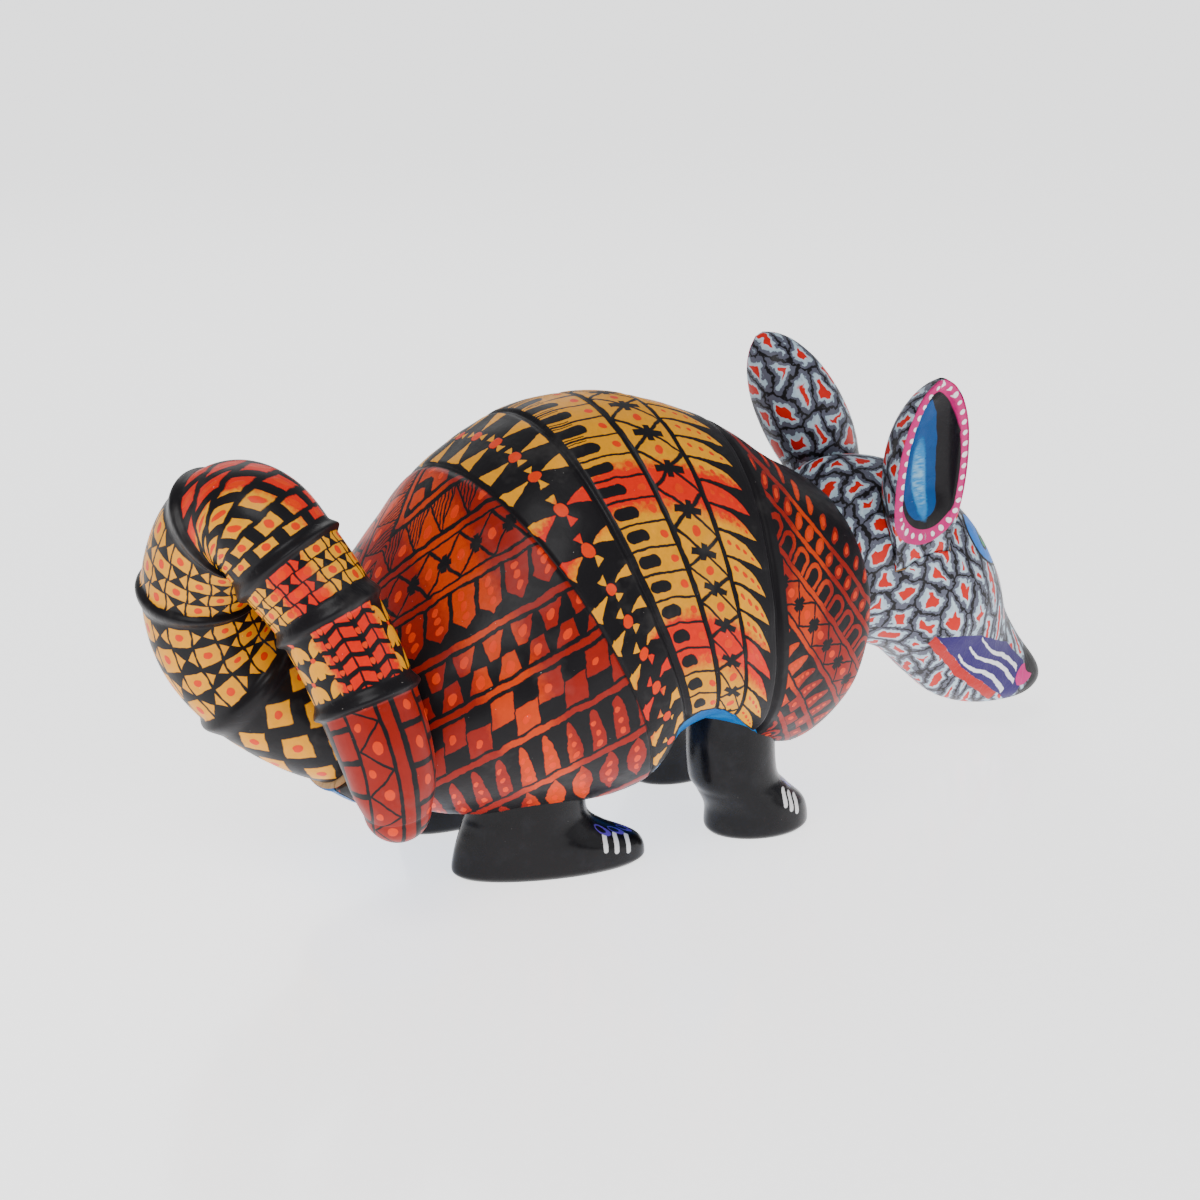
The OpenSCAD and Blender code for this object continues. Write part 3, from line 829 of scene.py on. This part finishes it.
def slot_band(name):
    """Band 2: yellow cells, each with a rounded black slot and a dot."""
    p, flip, w, total, edge = band(name, MUSTARD)
    bend = w / total - 0.5
    x, n = p.cell((flip + bend * bend * 0.02 - bend * 0.012) * 15, 1.0)
    x, y = p.near(x * 5.6, w, 0.8)
    p.color = p.blend(p.color, RED, zones(p, flip))
    r = 1.35 + (p.random(n) - 0.5) * 0.25
    # low on the side the slots close at both ends
    start = 0.8 + p.ramp(flip, 0.33, 0.40) * 2.0
    stadium = p.hypot(x, p.max(y - (total * 0.53 - r), start - y, 0.0)) - r
    p.fill(INK, stadium, 0.02)
    line = 2.52 - abs(x)
    # near the spine a second, shorter line follows the first
    second = p.max(abs(abs(x) - 2.1) - 0.15, y - total * 0.40) + p.ramp(flip, 0.25, 0.3) * 3
    p.fill(INK, p.min(line, second), 0.02)
    p.fill(DOT, p.hypot(x - 0.1, y - total * 0.80) - 0.9, 0.05)
    rims(p, w, total, edge, 1.2, 0.8)
    return p.finish((1.0, 0.3, 1.0), 0.5, 1.0)


def diamond_band(name):
    """Band 3: lattice of diamonds, a black cross where they meet, a dot inside each."""
    p, flip, w, total, edge = band(name, MUSTARD)
    pitch = 7.9
    q = flip * 11
    q = q - p.ramp(q, 1.0, 6.0)
    diamond, knot = p.again(q, 1.0) * pitch, p.again(q + 0.5, 1.0) * pitch
    half, middle = total * 0.46, w - total * 0.50
    p.color = p.blend(p.color, RED, zones(p, flip))
    x, y = p.near(diamond, middle, 0.8)
    p.fill(INK, abs(abs(x) / (pitch / 2) + abs(y) / half - 1) * 2.6 - 0.3, 0.0)
    x, y = p.near(*across_band(p, knot, middle), 0.6)
    big = 1.0 - flip * 0.25
    cross = p.min(p.max(abs(x) - big * 0.75, abs(y) - half * 0.60),
                  p.max(abs(x) - big * 1.9, abs(y) - big * 0.80))
    p.fill(INK, cross, 0.0)
    x, y = p.near(*across_band(p, diamond, middle), 0.6)
    p.fill(DOT, p.hypot(x, y) - 1.0, 0.05)
    rims(p, w, total, edge, 0.8, 0.7)
    return p.finish((1.0, 0.3, 1.0), 0.5, 1.0)


def fin_band(name):
    """Band 4: curved fins with a row of dots, on black."""
    p, flip, w, total, edge = band(name, INK)
    reach = total * 0.78
    x, y = p.near(p.again(flip * 15, 1.0) * 6.0, w, 0.9)
    q = p.clamp(y / reach)
    upper = q * q * q * q * 5.3 - 2.75 - x
    lower = x - 2.55 + 0.9 * q
    fin = p.max(upper * (1 - q * 0.45), lower, y - reach)
    p.fill(p.blend(MUSTARD, RED, zones(p, flip)), fin)
    for share, drop, r in ((0.22, -0.6, 0.62), (0.42, -0.5, 0.62), (0.60, -0.2, 0.55), (0.76, 0.5, 0.42)):
        p.fill(DOT, p.hypot(x - drop, y - reach * share) - r, 0.05)
    rims(p, w, total, edge, 0.7, 2.2)
    return p.finish((1.0, 0.3, 1.0), 0.5, 1.0)


def motifs(p, row, motif, stripe, color, keep, lift):
    """Paints the motif of each row, the stripes between rows and the motifs' dots; motif maps
    a row's number to its shape and its dots."""
    here = {n: p.math("COMPARE", row, float(n), 0.5) for n in motif}
    shape, dots = (sum(here[n] * motif[n][i] for n in motif) for i in (0, 1))
    p.coat(color, p.inside(shape) * keep)
    p.coat(color, p.inside(stripe) * keep)
    p.coat(DOT, p.inside(dots) * keep, lift)


def crossed(p, c, y, pitch, h, gap=1.2):
    """Brick row cut by a lattice of diamonds: distance to the brick, and to the dots."""
    mid = y - h / 2
    reach, half = pitch / 2, h / 2 - gap
    d = abs(c) / reach + abs(mid) / half - 1
    px = reach - abs(c)
    cross = p.min(p.max(px - 0.7, abs(mid) - 1.7), p.max(px - 1.45, abs(mid) - 0.6))
    black = p.min(abs(d) * 2.4 - 0.26, cross)
    return p.max(-black, abs(mid) - half), p.hypot(c, mid) - 1.0


RUMP_ROW, SHIELD_ROW = 10.8, 6.9


def rump_skin(name):
    """Slanting rows of motifs between stripes, brick and orange on black."""
    p = Paint(name, INK)
    k, s = p.uv("rows")
    edge, u = p.uv("size")[1], p.uv("paint")[1]
    h = RUMP_ROW
    s0, kh = p.near(s, k * h, 1.0)
    k = kh / h
    row = p.floor(k)
    y = (k - row) * h
    row = p.min(p.max(row, -1.0), 6.0)
    x = s0 + p.random(row) * 3 + y * 0.5
    off = abs(s - 6.0 + p.ramp(k, 3.5, 6.5) * 6.5 + (p.fine[2] - 0.5) * 3)
    color = p.blend(BRICK, ORANGE, p.ramp(off, 8.0, 4.0))
    stripe = p.min(y, h - y) - 0.62
    motif = {}
    # small squares
    c = p.again(x, 6.4)
    motif[-1] = p.max(abs(c) - 2.1, abs(y - h + 4.0) - 2.3), p.hypot(c, y - h + 4.0) - 0.8
    # triangles with hatched gaps
    c = p.again(x, 7.0) + 0.5
    slope = (y - 1.8) * 0.43
    triangle = p.max(abs(c) - slope, y - h + 1.6, 1.8 - y)
    line = abs(p.again(x + y * 0.15, 0.95)) - 0.25
    hatch = p.max(slope - abs(c) + 0.5, 1.7 - y, y - h + 2.0, line)
    motif[0] = p.min(triangle, hatch), p.hypot(c, y - h * 0.66) - 1.15
    motif[1] = crossed(p, p.again(x, 8.0), y, 8.0, h)
    # pencils hanging down
    c = p.again(x, 6.3)
    motif[2] = (p.max(abs(c) - 2.6, 1.3 - y, y - h * 0.62 - (2.6 - abs(c - 0.5)) * 0.75),
                p.spots(c, y, (-0.6, h * 0.24, 0.78), (0, h * 0.41, 0.78), (0.5, h * 0.60, 0.78)))
    # two opposed rows of wedges
    c, d = p.again(x, 6.6), p.again(x + 3.3, 6.6)
    rising = p.max(abs(c) - 2.5 + (y - 1.4) * 0.32, 1.4 - y, y - h * 0.50)
    hanging = p.max(abs(d) - 2.5 + (h - 1.4 - y) * 0.32, y - h + 1.4, h * 0.53 - y)
    motif[3] = p.min(rising, hanging), p.min(p.hypot(c, y - h * 0.30), p.hypot(d, y - h * 0.74)) - 0.95
    # staggered squares, some without a dot
    c, n = p.cell(x, 5.4)
    drift = y - h * 0.36 - p.fract(n * 0.5) * (h * 0.60)
    motif[4] = (p.max(abs(c) - 2.55, abs(drift) - 2.45),
                p.hypot(c + 0.4, drift - 0.4) - 0.8 + p.ramp(p.random(n, row), 0.55, 0.56) * 3)
    # flames standing on the stripe
    c = p.again(x, 5.4)
    q = p.clamp((y - 1.3) / (h - 2.6))
    lean = c + (1 - q) * (1 - q) * 0.8
    motif[5] = (p.max(abs(lean) - p.sqrt(q) * 2.1 + q * q * 0.5, 1.3 - y, y - h + 1.2),
                p.spots(c, y, (-0.75, h * 0.38, 0.55), (-0.15, h * 0.58, 0.55), (0, h * 0.78, 0.67)))
    # lenses along the edge
    c = p.again(x, 6.4) + (y - h / 2) * 0.12
    v = (y - h * 0.46) / (h * 0.40)
    motif[6] = (abs(c) - (1 - v * v) * 2.2,
                p.spots(c, y, (0, h * 0.30, 0.6), (0, h * 0.48, 0.7), (0, h * 0.66, 0.6)))
    keep = p.inside(0.9 - edge) * p.inside(u - 4.985, 0.03)
    motifs(p, row, motif, stripe, color, keep, 0.05)
    return p.finish((0.6, 1.0, 0.6), 0.5, 1.0)


def shield_skin(name):
    """Front shield: rows that fall towards the chest."""
    p = Paint(name, INK)
    k, s = p.uv("rows")
    edge, w, u = p.uv("size")[1], p.uv("plate")[1], p.uv("paint")[1]
    h = SHIELD_ROW
    x, kk = p.near(s, k * h, 0.8)
    k = kk / h
    orange = p.ramp(abs(s + 40.0 - k * 4.2 + (p.fine[2] - 0.5) * 3), 7.0, 3.5)
    color = p.blend(BRICK, ORANGE, orange)
    starts = (0.30, 0.93, 1.83, 3.0, 4.1, 4.88)
    stripe = p.min(*(abs(k - at) * h for at in starts)) - 0.5
    row = sum(p.math("GREATER_THAN", k, at) for at in starts)
    motif = {}
    # slanting beads
    beads = p.hypot(p.again(x + 1.0, 3.6) * 1.3, (k + 0.12) * h * 0.7) - 1.1
    motif[0] = beads, beads + 0.5
    # small upright ellipses
    y = (k - 0.61) * h
    ellipses = p.max(p.hypot(p.again(x, 3.3), y * 0.62) - 1.0, abs(y) - 1.9)
    motif[1] = ellipses, ellipses + 0.45
    # arches, without dots
    arch = p.again(x, 4.4)
    y = (k - starts[1]) * h
    outer = p.max(p.hypot(arch, p.min(y - 2.9, 0.0)) - 1.95, y - 5.6)
    inner = p.max(p.hypot(arch, p.min(y - 3.1, 0.0)) - 1.15, y - 6.4)
    motif[2] = p.max(outer, -inner), 9.0
    lattice, dots = crossed(p, p.again(x + 1.5, 6.2), (k - starts[2]) * h, 6.2, 1.17 * h, 0.95)
    motif[3] = lattice, dots + 0.15
    # flames
    c = p.again(x, 4.2)
    y, tall = (k - starts[3]) * h, 1.1 * h
    q = p.clamp((y - 1.1) / (tall - 2.0))
    lean = c - (1 - q) * (1 - q) * 0.8
    motif[4] = (p.max(abs(lean) - p.sqrt(q) * 1.6, 1.1 - y, y - tall + 1.0),
                p.min(p.spots(lean, y, (0, tall * 0.42, 0.45)),
                      p.spots(c, y, (0, tall * 0.60, 0.45), (0, tall * 0.77, 0.45))))
    # staggered tiles
    c, n = p.cell(x, 3.9)
    y = (k - 4.35 - p.fract(n * 0.5) * 0.52) * h
    motif[5] = p.max(abs(c) - 1.7, abs(y) - 1.25), p.hypot(c, y) - 0.6
    # thin arches in the lowest corner
    y = (k - starts[5]) * h
    motif[6] = (p.max(abs(p.hypot(arch, p.min(y - 3.0, 0.0)) - 1.5) - 0.4, y - 6.0),
                p.hypot(arch, y - 3.4) - 0.6)
    keep = p.inside(0.9 - edge) * p.ramp(w, 2.9, 3.1)
    motifs(p, row, motif, stripe, color, keep, 0.04)
    p.coat(INK, p.ramp(u, 11.75, 11.85), 0.0)
    return p.finish((0.6, 1.0, 0.6), 0.5, 1.0)


def belly_skin(name):
    """Blue belly, brushed in lighter and darker patches."""
    p = Paint(name, SKY, 0.4)
    p.coat(lin(0, 150, 215), p.ramp(p.noise(90, 3), 0.5, 0.75) * 0.5, 0)
    p.coat(lin(0, 85, 150), p.ramp(p.noise(140, 3), 0.55, 0.8) * 0.5, 0)
    return p.finish((1.0, 0.2, 0.6), 0.6, 1.3)


def tail_skin(name, kind, zone):
    """One ring of the tail, black collar at its end."""
    p = Paint(name, INK)
    arc, w = p.uv("plate")
    total = p.uv("size")[0]
    v = p.uv("paint")[0] * 360 + (p.fine[2] - 0.5) * 14
    red = p.ramp(v, zone[0] - 5, zone[0] + 5) * p.ramp(v, zone[1] + 5, zone[1] - 5)
    color = p.blend(MUSTARD, RED, red)
    x0, y0 = p.near(arc, w, 0.6)
    if kind == "tip":
        tail_tip(p)
        return p.finish((0.6, 0.6, 0.6), 0.6, 1.0, 0.1)

    def tiles(around, rows):
        """Staggered cells: place in the cell, the row's height, and the cell's width."""
        pitch, room = 2 * PI * TAIL_R / around, total - 3.9
        n = p.floor(p.clamp((y0 - 1.0) / room * 0.999) * rows)
        y = y0 - 1.0 - (n + 0.5) * room / rows
        return p.again(x0 + p.fract(n * 0.5) * pitch, pitch), y, room / rows, pitch

    if kind == "open":
        c, y, h, pitch = tiles(9, 3)
        shape = (abs(c) / 3.3 + abs(y) / (h * 0.5) - 1) * 1.5
        dots = p.hypot(c, y) - 0.85
    elif kind == "check":
        c, y, h, pitch = tiles(10, 6)
        shape = p.max(abs(c) - 2.3, abs(y) - h * 0.36)
        dots = p.hypot(c * 0.8, y) - 0.7
    elif kind == "net":
        c, y, h, pitch = tiles(8, 4)
        side = pitch / 2 - abs(c)
        square = p.max(abs(c) - 2.3 + abs(y) * 0.15, abs(y) - h * 0.43)
        bow = p.max(abs(y) - side * 1.05 + 0.3, side - 1.85, abs(y) - h * 0.46)
        shape = p.min(square, bow)
        dots = p.hypot(c, y) - 0.85
    else:
        c, y, h, pitch = tiles(10, 3)
        up = y + h * 0.42

        def petal(b):
            q = (up * math.cos(b) + c * math.sin(b) - 2.9) / 2.5
            return abs(c * math.cos(b) - up * math.sin(b)) - (1 - q * q) * 1.1

        shape = p.min(petal(-0.62), petal(0.0), petal(0.62))
        # on the ridge: short ribs either side of a spine of dots
        spine = p.again(x0 - 1.4, 7.2)
        rib = p.again(y0 + abs(spine) * 0.35, 3.1)
        ribs = p.max(abs(abs(spine) - 2.0) - 1.35, abs(rib) - 1.05, 0.9 - y0)
        hard = p.ramp(red, 0.45, 0.55)
        shape = shape * (1 - hard) + ribs * hard
        dots = (p.hypot(c, up) - 0.65) * (1 - hard) + (p.hypot(spine, rib) - 0.62) * hard
    p.fill(color, shape)
    p.fill(DOT, dots, 0.05)
    border = p.min(w - 0.5, total - 2.9 - w) + (p.hand[2] - 0.5) * 0.8
    p.fill(INK, border, -0.01)
    return p.finish((0.6, 0.6, 0.6), 0.6, 1.0, 0.1)


STRIPE_TURN = 88


def tail_tip(p):
    """Brick stripe along the tail, triangles on one side of it, squares on the other."""
    turn, w, r = p.uv("paint")[0], p.uv("plate")[1], p.uv("rows")[0]
    x, y = p.near((turn - STRIPE_TURN / 360) * (2 * PI) * r, w, 0.6)
    zig = p.again(y, 8.4)
    line = abs(zig) * 1.35
    left = 0 - x
    triangles = p.max(0.38 - abs(left - 2.0 - line), 2.0 - left, left - 7.8)
    blocks = p.max(abs(left - 11.2) - 2.6, abs(p.again(y + 3, 6.6)) - 2.7)
    cx, column = p.cell(x - 1.9, 6.4)
    cy = p.again(y + p.fract(column * 0.5) * 6.6, 6.6)
    squares = p.max(abs(cx) - 2.7, abs(cy) - 2.75, 1.9 - x)
    shape = p.min(abs(x) - 1.15, triangles, blocks, squares)
    p.coat(BRICK, p.inside(shape) * p.ramp(w, 0.9, 1.2))
    dots = p.min(p.hypot(left - 3.9, p.again(y + 4.2, 8.4)) - 1.05, p.hypot(left - 6.4, zig) - 0.8,
                 p.max(p.hypot(cx, cy) - 1.0, 1.9 - x))
    p.coat(DOT, p.inside(dots) * p.ramp(w, 0.9, 1.2), 0.05)


GREY_LIGHT = lin(176, 200, 216)
GREY_MID = lin(98, 100, 116)


def cells(p, x, y, size):
    """Grey cells with dark crackled borders and a red stroke in each."""
    def edge_gap(fine):
        """Distance to the nearest border between two cells."""
        across = (x + (p.hand[0] - 0.5) * 4.6 + (p.fine[0] - 0.5) * fine) / size
        along = (y + (p.hand[1] - 0.5) * 4.6 + (p.fine[1] - 0.5) * fine) / (size * 1.35)
        v = p.node("TexVoronoi", Vector=p.pair(across, along), Scale=1.0, Randomness=0.66)
        v.voronoi_dimensions = "2D"
        v.feature = "DISTANCE_TO_EDGE"
        return Val(p, v.outputs["Distance"]) * size

    d, soft = edge_gap(1.5), edge_gap(0.4)
    p.coat(GREY_LIGHT, p.ramp(d + (p.fine[2] - 0.5) * 0.7, 1.0, 1.12), 0.02)
    p.coat(lin(205, 224, 236), p.ramp(soft, 1.35, 1.6) * 0.6, 0)
    p.fill(lin(212, 30, 18), size * 0.315 - soft + (p.hand[2] - 0.5) * 0.8, 0.05)
    p.fill(INK, d - 0.32 - (p.fine[1] - 0.5) * 0.3, 0.02)


def face_skin(name):
    """Head: grey cells, eyes, a purple muzzle with white waves, a red lip and a black nose."""
    p = Paint(name, GREY_MID, 0.45)
    s, along = p.uv("plate")
    cells(p, s, along, 6.0)
    x, z = p.uv("size")
    side, u = abs(p.uv("rows")[0]), p.uv("paint")[1]
    # eye patch, iris and glint
    ex, ez = p.near(x - 45.2, z - 54.6, 0.6)
    patch = p.hypot(ex * 0.62 + ez * 0.45, (ez - ex * 0.2) * 0.50) - 3.8
    brow = 7.6 + ez * ez * 0.11 - side
    patch = p.max(patch, brow)
    p.fill(lin(20, 128, 230), patch, 0.04)
    p.fill(INK, abs(patch) - 0.25, 0.02)
    eye = p.hypot(x - 45.6, z - 54.6) - 2.6
    eye = p.max(eye, brow)
    p.fill(INK, eye, 0.05)
    p.fill(lin(20, 150, 90), eye + 0.6, 0.06)
    p.fill(INK, eye + 1.5, 0.02)
    p.fill(lin(250, 250, 250), p.max(p.hypot(x - 45.0, z - 55.6) - 0.55, brow), 0.05)
    # muzzle, waves, lip, magenta spot, nose
    mx, mz = p.near(x, z, 0.7)
    top = 34.0 - (mx - 30) * 0.1 - p.max(mx - 40, 0.0) * 0.30 - p.max(mx - 56, 0.0) * 0.42
    low_line = 33.5 - (mx - 30) * 0.90 + p.max(mx - 42, 0.0) * 0.22
    muzzle = p.max(mz - top, low_line - mz, 29.0 - mx, mx - 65.0, 1.5 - side)
    p.fill(lin(38, 14, 98), muzzle, 0.05)
    waves = ((38.2, 27.3, 0.69, 59.5), (40.2, 29.4, 0.66, 62.0), (43.6, 31.0, 0.72, 62.2))
    for first, start, slope, last in waves:
        bend = p.math("SINE", (mx - first) * 0.33) * 0.85
        thick = 0.25 + p.ramp(mx, first, last) * 0.42
        wave = abs(mz - start + (mx - first) * slope + bend) * 0.85 - thick
        p.fill(lin(245, 245, 250), p.max(wave, first - mx, mx - last, muzzle + 0.4), 0.05)
    mouth = p.max(abs(mz - low_line + 1.35) - 1.3, 29.0 - mx, mx - 57.5, 1.0 - side)
    p.fill(lin(190, 14, 8), mouth, 0.06)
    spot = p.hypot(mx - 65.4, mz - 15.4) - 2.9
    p.fill(lin(204, 14, 120), p.max(spot, 3.0 - side), 0.03)
    nose = p.min(u * -4.0 + 26.9, p.hypot(mx - 70.0, mz - 19.0) - 4.4)
    p.fill(INK, nose, 0.03)
    return p.finish((0.7, 0.7, 0.7), 0.4, 1.0, 0.06)


def ear_back_skin(name):
    """Back of an ear: grey cells like the head's."""
    p = Paint(name, GREY_MID, 0.45)
    s, z = p.uv("plate")
    cells(p, s, z, 5.8)
    return p.finish((0.7, 0.7, 0.7), 0.4, 1.0, 0.06)


def ear_front_skin(name):
    """Cup: pink rim with white dots, black and blue inside."""
    p = Paint(name, GREY_MID, 0.42)
    x, z = p.uv("rows")
    cells(p, x, z, 5.8)
    rim, run = p.uv("size")
    fx = p.uv("paint")[0]
    p.fill(lin(196, 22, 112), -rim - 0.1, 0.05)
    lip_at = fx * 2.6 + 3.2
    c, i = p.cell(run, 2.9)
    dot = p.hypot(c, (rim - lip_at * 0.5) * 0.9) - 0.68 - (p.random(i) - 0.5) * 0.25
    p.fill(lin(250, 245, 248), dot, 0.06)
    wob = (p.hand[0] - 0.5) * 0.8
    p.fill(INK, lip_at - rim + wob * 0.3, 0.0)
    deep = rim - lip_at - 2.2 + fx * 3.8 + wob
    p.fill(lin(0, 74, 138), -deep, 0.03)
    streak = p.noise(1400, 3, 0.6, (0.2, 0.2, 1.0))
    pool = p.hypot((x + 0.2) / 2.3, (z - 19.5) / 10.0) - 1 + (streak - 0.5) * 0.35
    p.coat(lin(40, 140, 206), p.ramp(pool, 0.0, -0.25) * 0.9, 0.02)
    p.coat(lin(150, 205, 230), p.ramp(pool, -0.1, -0.5) * p.ramp(streak, 0.42, 0.62) * 0.8, 0.02)
    return p.finish((0.5, 0.5, 0.5), 0.4, 0.8, 0.1)


def leg_skin(name, reach, top, claws):
    """Glossy black leg, lilac toes and three white claw strokes."""
    p = Paint(name, lin(20, 19, 22), 0.24, 0.15)
    p.coat(lin(40, 40, 46), p.ramp(p.noise(200, 4, 0.6), 0.5, 0.8) * 0.6, 0.01)
    x, z = p.near(*p.uv("rows"), 0.5)
    out = abs(p.uv("size")[1])
    for at, up in claws:
        stroke = p.max(p.hypot(abs(x - at), p.max(abs(z - up) - 1.5, 0.0)) - 0.55, 3.0 - out)
        p.fill(lin(248, 248, 248), stroke, 0.08)
    for ahead, aside in ((-3.2, 4.6), (0.2, 3.0), (2.6, 0.9)):
        along, across = x - reach - ahead, (out - aside) / 0.95
        toe = p.max(p.hypot(along / 1.9, across) - 1, z - top, 3.0 - z)
        p.fill(lin(104, 78, 196), toe, 0.05)
        nail = p.max(p.hypot((along + 0.5) / 1.9, across) - 0.62, z - top)
        p.fill(INK, nail, 0.0)
    return p.finish((0.6, 0.6, 0.6), 0.25, 0.8, 0.12)


def bare_wood(name):
    """Unpainted softwood: long grain, darker late wood, a little glue and dust."""
    p = Paint(name, lin(206, 166, 118), 0.62)
    grain = p.noise(900, 4, 0.65, (0.15, 1.0, 1.0))
    p.coat(lin(168, 120, 74), p.ramp(grain, 0.45, 0.75) * 0.8, 0.04)
    rings = p.noise(150, 3, 0.5, (0.2, 1.0, 1.0))
    p.coat(lin(222, 190, 146), p.ramp(rings, 0.5, 0.8) * 0.6, 0.0)
    p.coat(lin(120, 84, 52), p.ramp(p.noise(2500, 2, 0.5, (0.1, 1, 1)), 0.68, 0.75) * 0.7, -0.05)
    return p.finish((0.2, 1.0, 1.0), 0.3, 1.6, 0.0)


def floor_skin(name):
    """Plain white table top that glows a little."""
    p = Paint(name, lin(250, 250, 251), 0.5)
    p.bsdf.inputs["Emission Color"].default_value = (1, 1, 1, 1)
    p.bsdf.inputs["Emission Strength"].default_value = 1.7
    p.put(p.bsdf.inputs["Base Color"], p.color)
    p.bsdf.inputs["Roughness"].default_value = 0.16
    return p.material


# ---------------------------------------------------------------- materials

bare = bare_wood("bare")
shell_paints = [rump_skin("rump"), wheel_band("band1"), slot_band("band2"), diamond_band("band3"),
                fin_band("band4"), shield_skin("shield"), belly_skin("belly"), bare]
face = face_skin("head_skin")
ear_paints = [ear_back_skin("ear_back"), ear_front_skin("ear_front"), bare]
hind_black = leg_skin("hind_black", 14, 11, ((10.8, 6.6), (13.5, 6.0), (16.4, 5.4)))
front_black = leg_skin("front_black", 6, 12, ((4.6, 8.8), (6.2, 7.6), (7.8, 6.6)))
# Pattern of each tail ring, and the degrees between which it is red
NEVER = (999, 1000)
TAIL_PAINT = (("open", NEVER), ("net", NEVER), ("net", NEVER), ("check", (118, 215)),
              ("net", (48, 94)), ("leaf", (50, 128)), ("tip", NEVER))
tail_paints = [tail_skin("tail" + str(i), *ring) for i, ring in enumerate(TAIL_PAINT)] + [bare]

# ---------------------------------------------------------------- pieces

DOWEL_END = 0.5
SOCKET = TAIL_DOWEL_HALF + DOWEL_END + 1
body = body_piece(shell_paints)
carve(body, [
    cutter(COLLAR - NECK_AXIS * (NECK_IN + GLUE_GAP), NECK_AXIS, NECK_R + GLUE_GAP, 40, bare),
    cutter(ROOT - ROOT_AXIS * (SOCKET - 1), ROOT_AXIS, TAIL_DOWEL_R + SLIDE_GAP, SOCKET, bare)])
head = head_piece([face, bare])
carve(head, [seat_cutter(RIGHT_EAR, bare), seat_cutter(LEFT_EAR, bare)])
tail = tail_piece(tail_paints)
carve(tail, [cutter(ROOT - ROOT_AXIS, ROOT_AXIS, TAIL_DOWEL_R + GLUE_GAP, SOCKET, bare)])


def peg(name, ear):
    foot, _, face, up, _ = ear_frame(ear)
    return bar(name, foot - PEG_BEHIND * face - PEG_HALF * up, up, PEG_R, 2 * PEG_HALF, [bare], 9)


# Node: piece, body it rides on, slot
pieces = {
    "body": (body, "figure", "shell_paint"),
    "head": (head, "figure", "head_paint"),
    "tail": (tail, "tail_plug", "tail_paint"),
    "neck_dowel": (bar("armadillo_neck_dowel", COLLAR - NECK_BACK * NECK_AXIS, NECK_AXIS,
                       NECK_DOWEL_R, NECK_BACK + NECK_AHEAD, [bare], 14), "figure", "bare_wood"),
    "tail_dowel": (bar("armadillo_tail_dowel", ROOT - TAIL_DOWEL_HALF * ROOT_AXIS, ROOT_AXIS,
                       TAIL_DOWEL_R, 2 * TAIL_DOWEL_HALF, [bare], 12), "tail_plug", "bare_wood"),
}
for side, word, ear in ((-1, "right", RIGHT_EAR), (1, "left", LEFT_EAR)):
    plug, name = word + "_ear_plug", word + "_ear"
    pieces[name] = (ear_piece("armadillo_" + name, ear, ear_paints), plug, "head_paint")
    pieces[name + "_peg"] = (peg("armadillo_" + name + "_peg", ear), plug, "bare_wood")
    for end, rows, at, paint in (("front", FRONT, FRONT_AT, front_black),
                                 ("hind", HIND, HIND_AT, hind_black)):
        name = word + "_" + end
        leg = leg_piece("armadillo_" + name + "_leg", rows, at, side, [paint, bare])
        start = leg_point(np.array([rows[-1, 1], 0, rows[-1, 0] - LEG_DOWEL_HALF]), at, side)
        dowel = bar("armadillo_" + name + "_dowel", start, [0, 0, 1], LEG_DOWEL_R,
                    2 * LEG_DOWEL_HALF, [bare], 10)
        pieces[name + "_leg"] = (leg, "figure", "leg_paint")
        pieces[name + "_dowel"] = (dowel, "figure", "bare_wood")
for node, (piece, group, slot_name) in pieces.items():
    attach(piece, group)
    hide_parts(node)

# ---------------------------------------------------------------- floor, light, camera

floor_mesh = bpy.data.meshes.new("floor")
reach = 8
floor_mesh.from_pydata([(-reach, -reach, 0), (reach, -reach, 0), (reach, reach, 0), (-reach, reach, 0)],
                       [], [(0, 1, 2, 3)])
floor = bpy.data.objects.new("floor", floor_mesh)
bpy.context.scene.collection.objects.link(floor)
floor_mesh.materials.append(floor_skin("floor"))


def mm(x, y, z):
    """A point of the drawing, given in millimetres, in the frame's metres."""
    return Vector((np.array([x, y, z]) + SHIFT) * 0.001)


def area(name, at, aim, size, power):
    """Square soft light at one point, aimed at another."""
    light = bpy.data.lights.new(name, "AREA")
    light.size, light.energy = size, power
    obj = bpy.data.objects.new(name, light)
    obj.location = at
    obj.rotation_euler = (aim - at).to_track_quat("-Z", "Y").to_euler()
    bpy.context.scene.collection.objects.link(obj)


middle = mm(0, 0, 50)
area("key", mm(-350, -350, 700), middle, 0.4, 3.2)
area("fill", mm(500, -500, 350), middle, 0.6, 1.2)
area("rim", mm(100, 600, 500), middle, 0.5, 1.5)
world = bpy.data.worlds.new("world")
bpy.context.scene.world = world
world.use_nodes = True
sky = world.node_tree.nodes["Background"]
sky.inputs["Color"].default_value = (0.85, 0.87, 0.9, 1)
sky.inputs["Strength"].default_value = 0.42

camera = bpy.data.objects.new("camera", bpy.data.cameras.new("camera"))
camera.data.lens, camera.data.sensor_width = 85, 36
camera.data.clip_start = 0.01
camera.location = mm(-280.4, -522.5, 244.2)
camera.rotation_euler = (mm(-3, 0, 52) - camera.location).to_track_quat("-Z", "Y").to_euler()
bpy.context.scene.collection.objects.link(camera)
bpy.context.scene.camera = camera
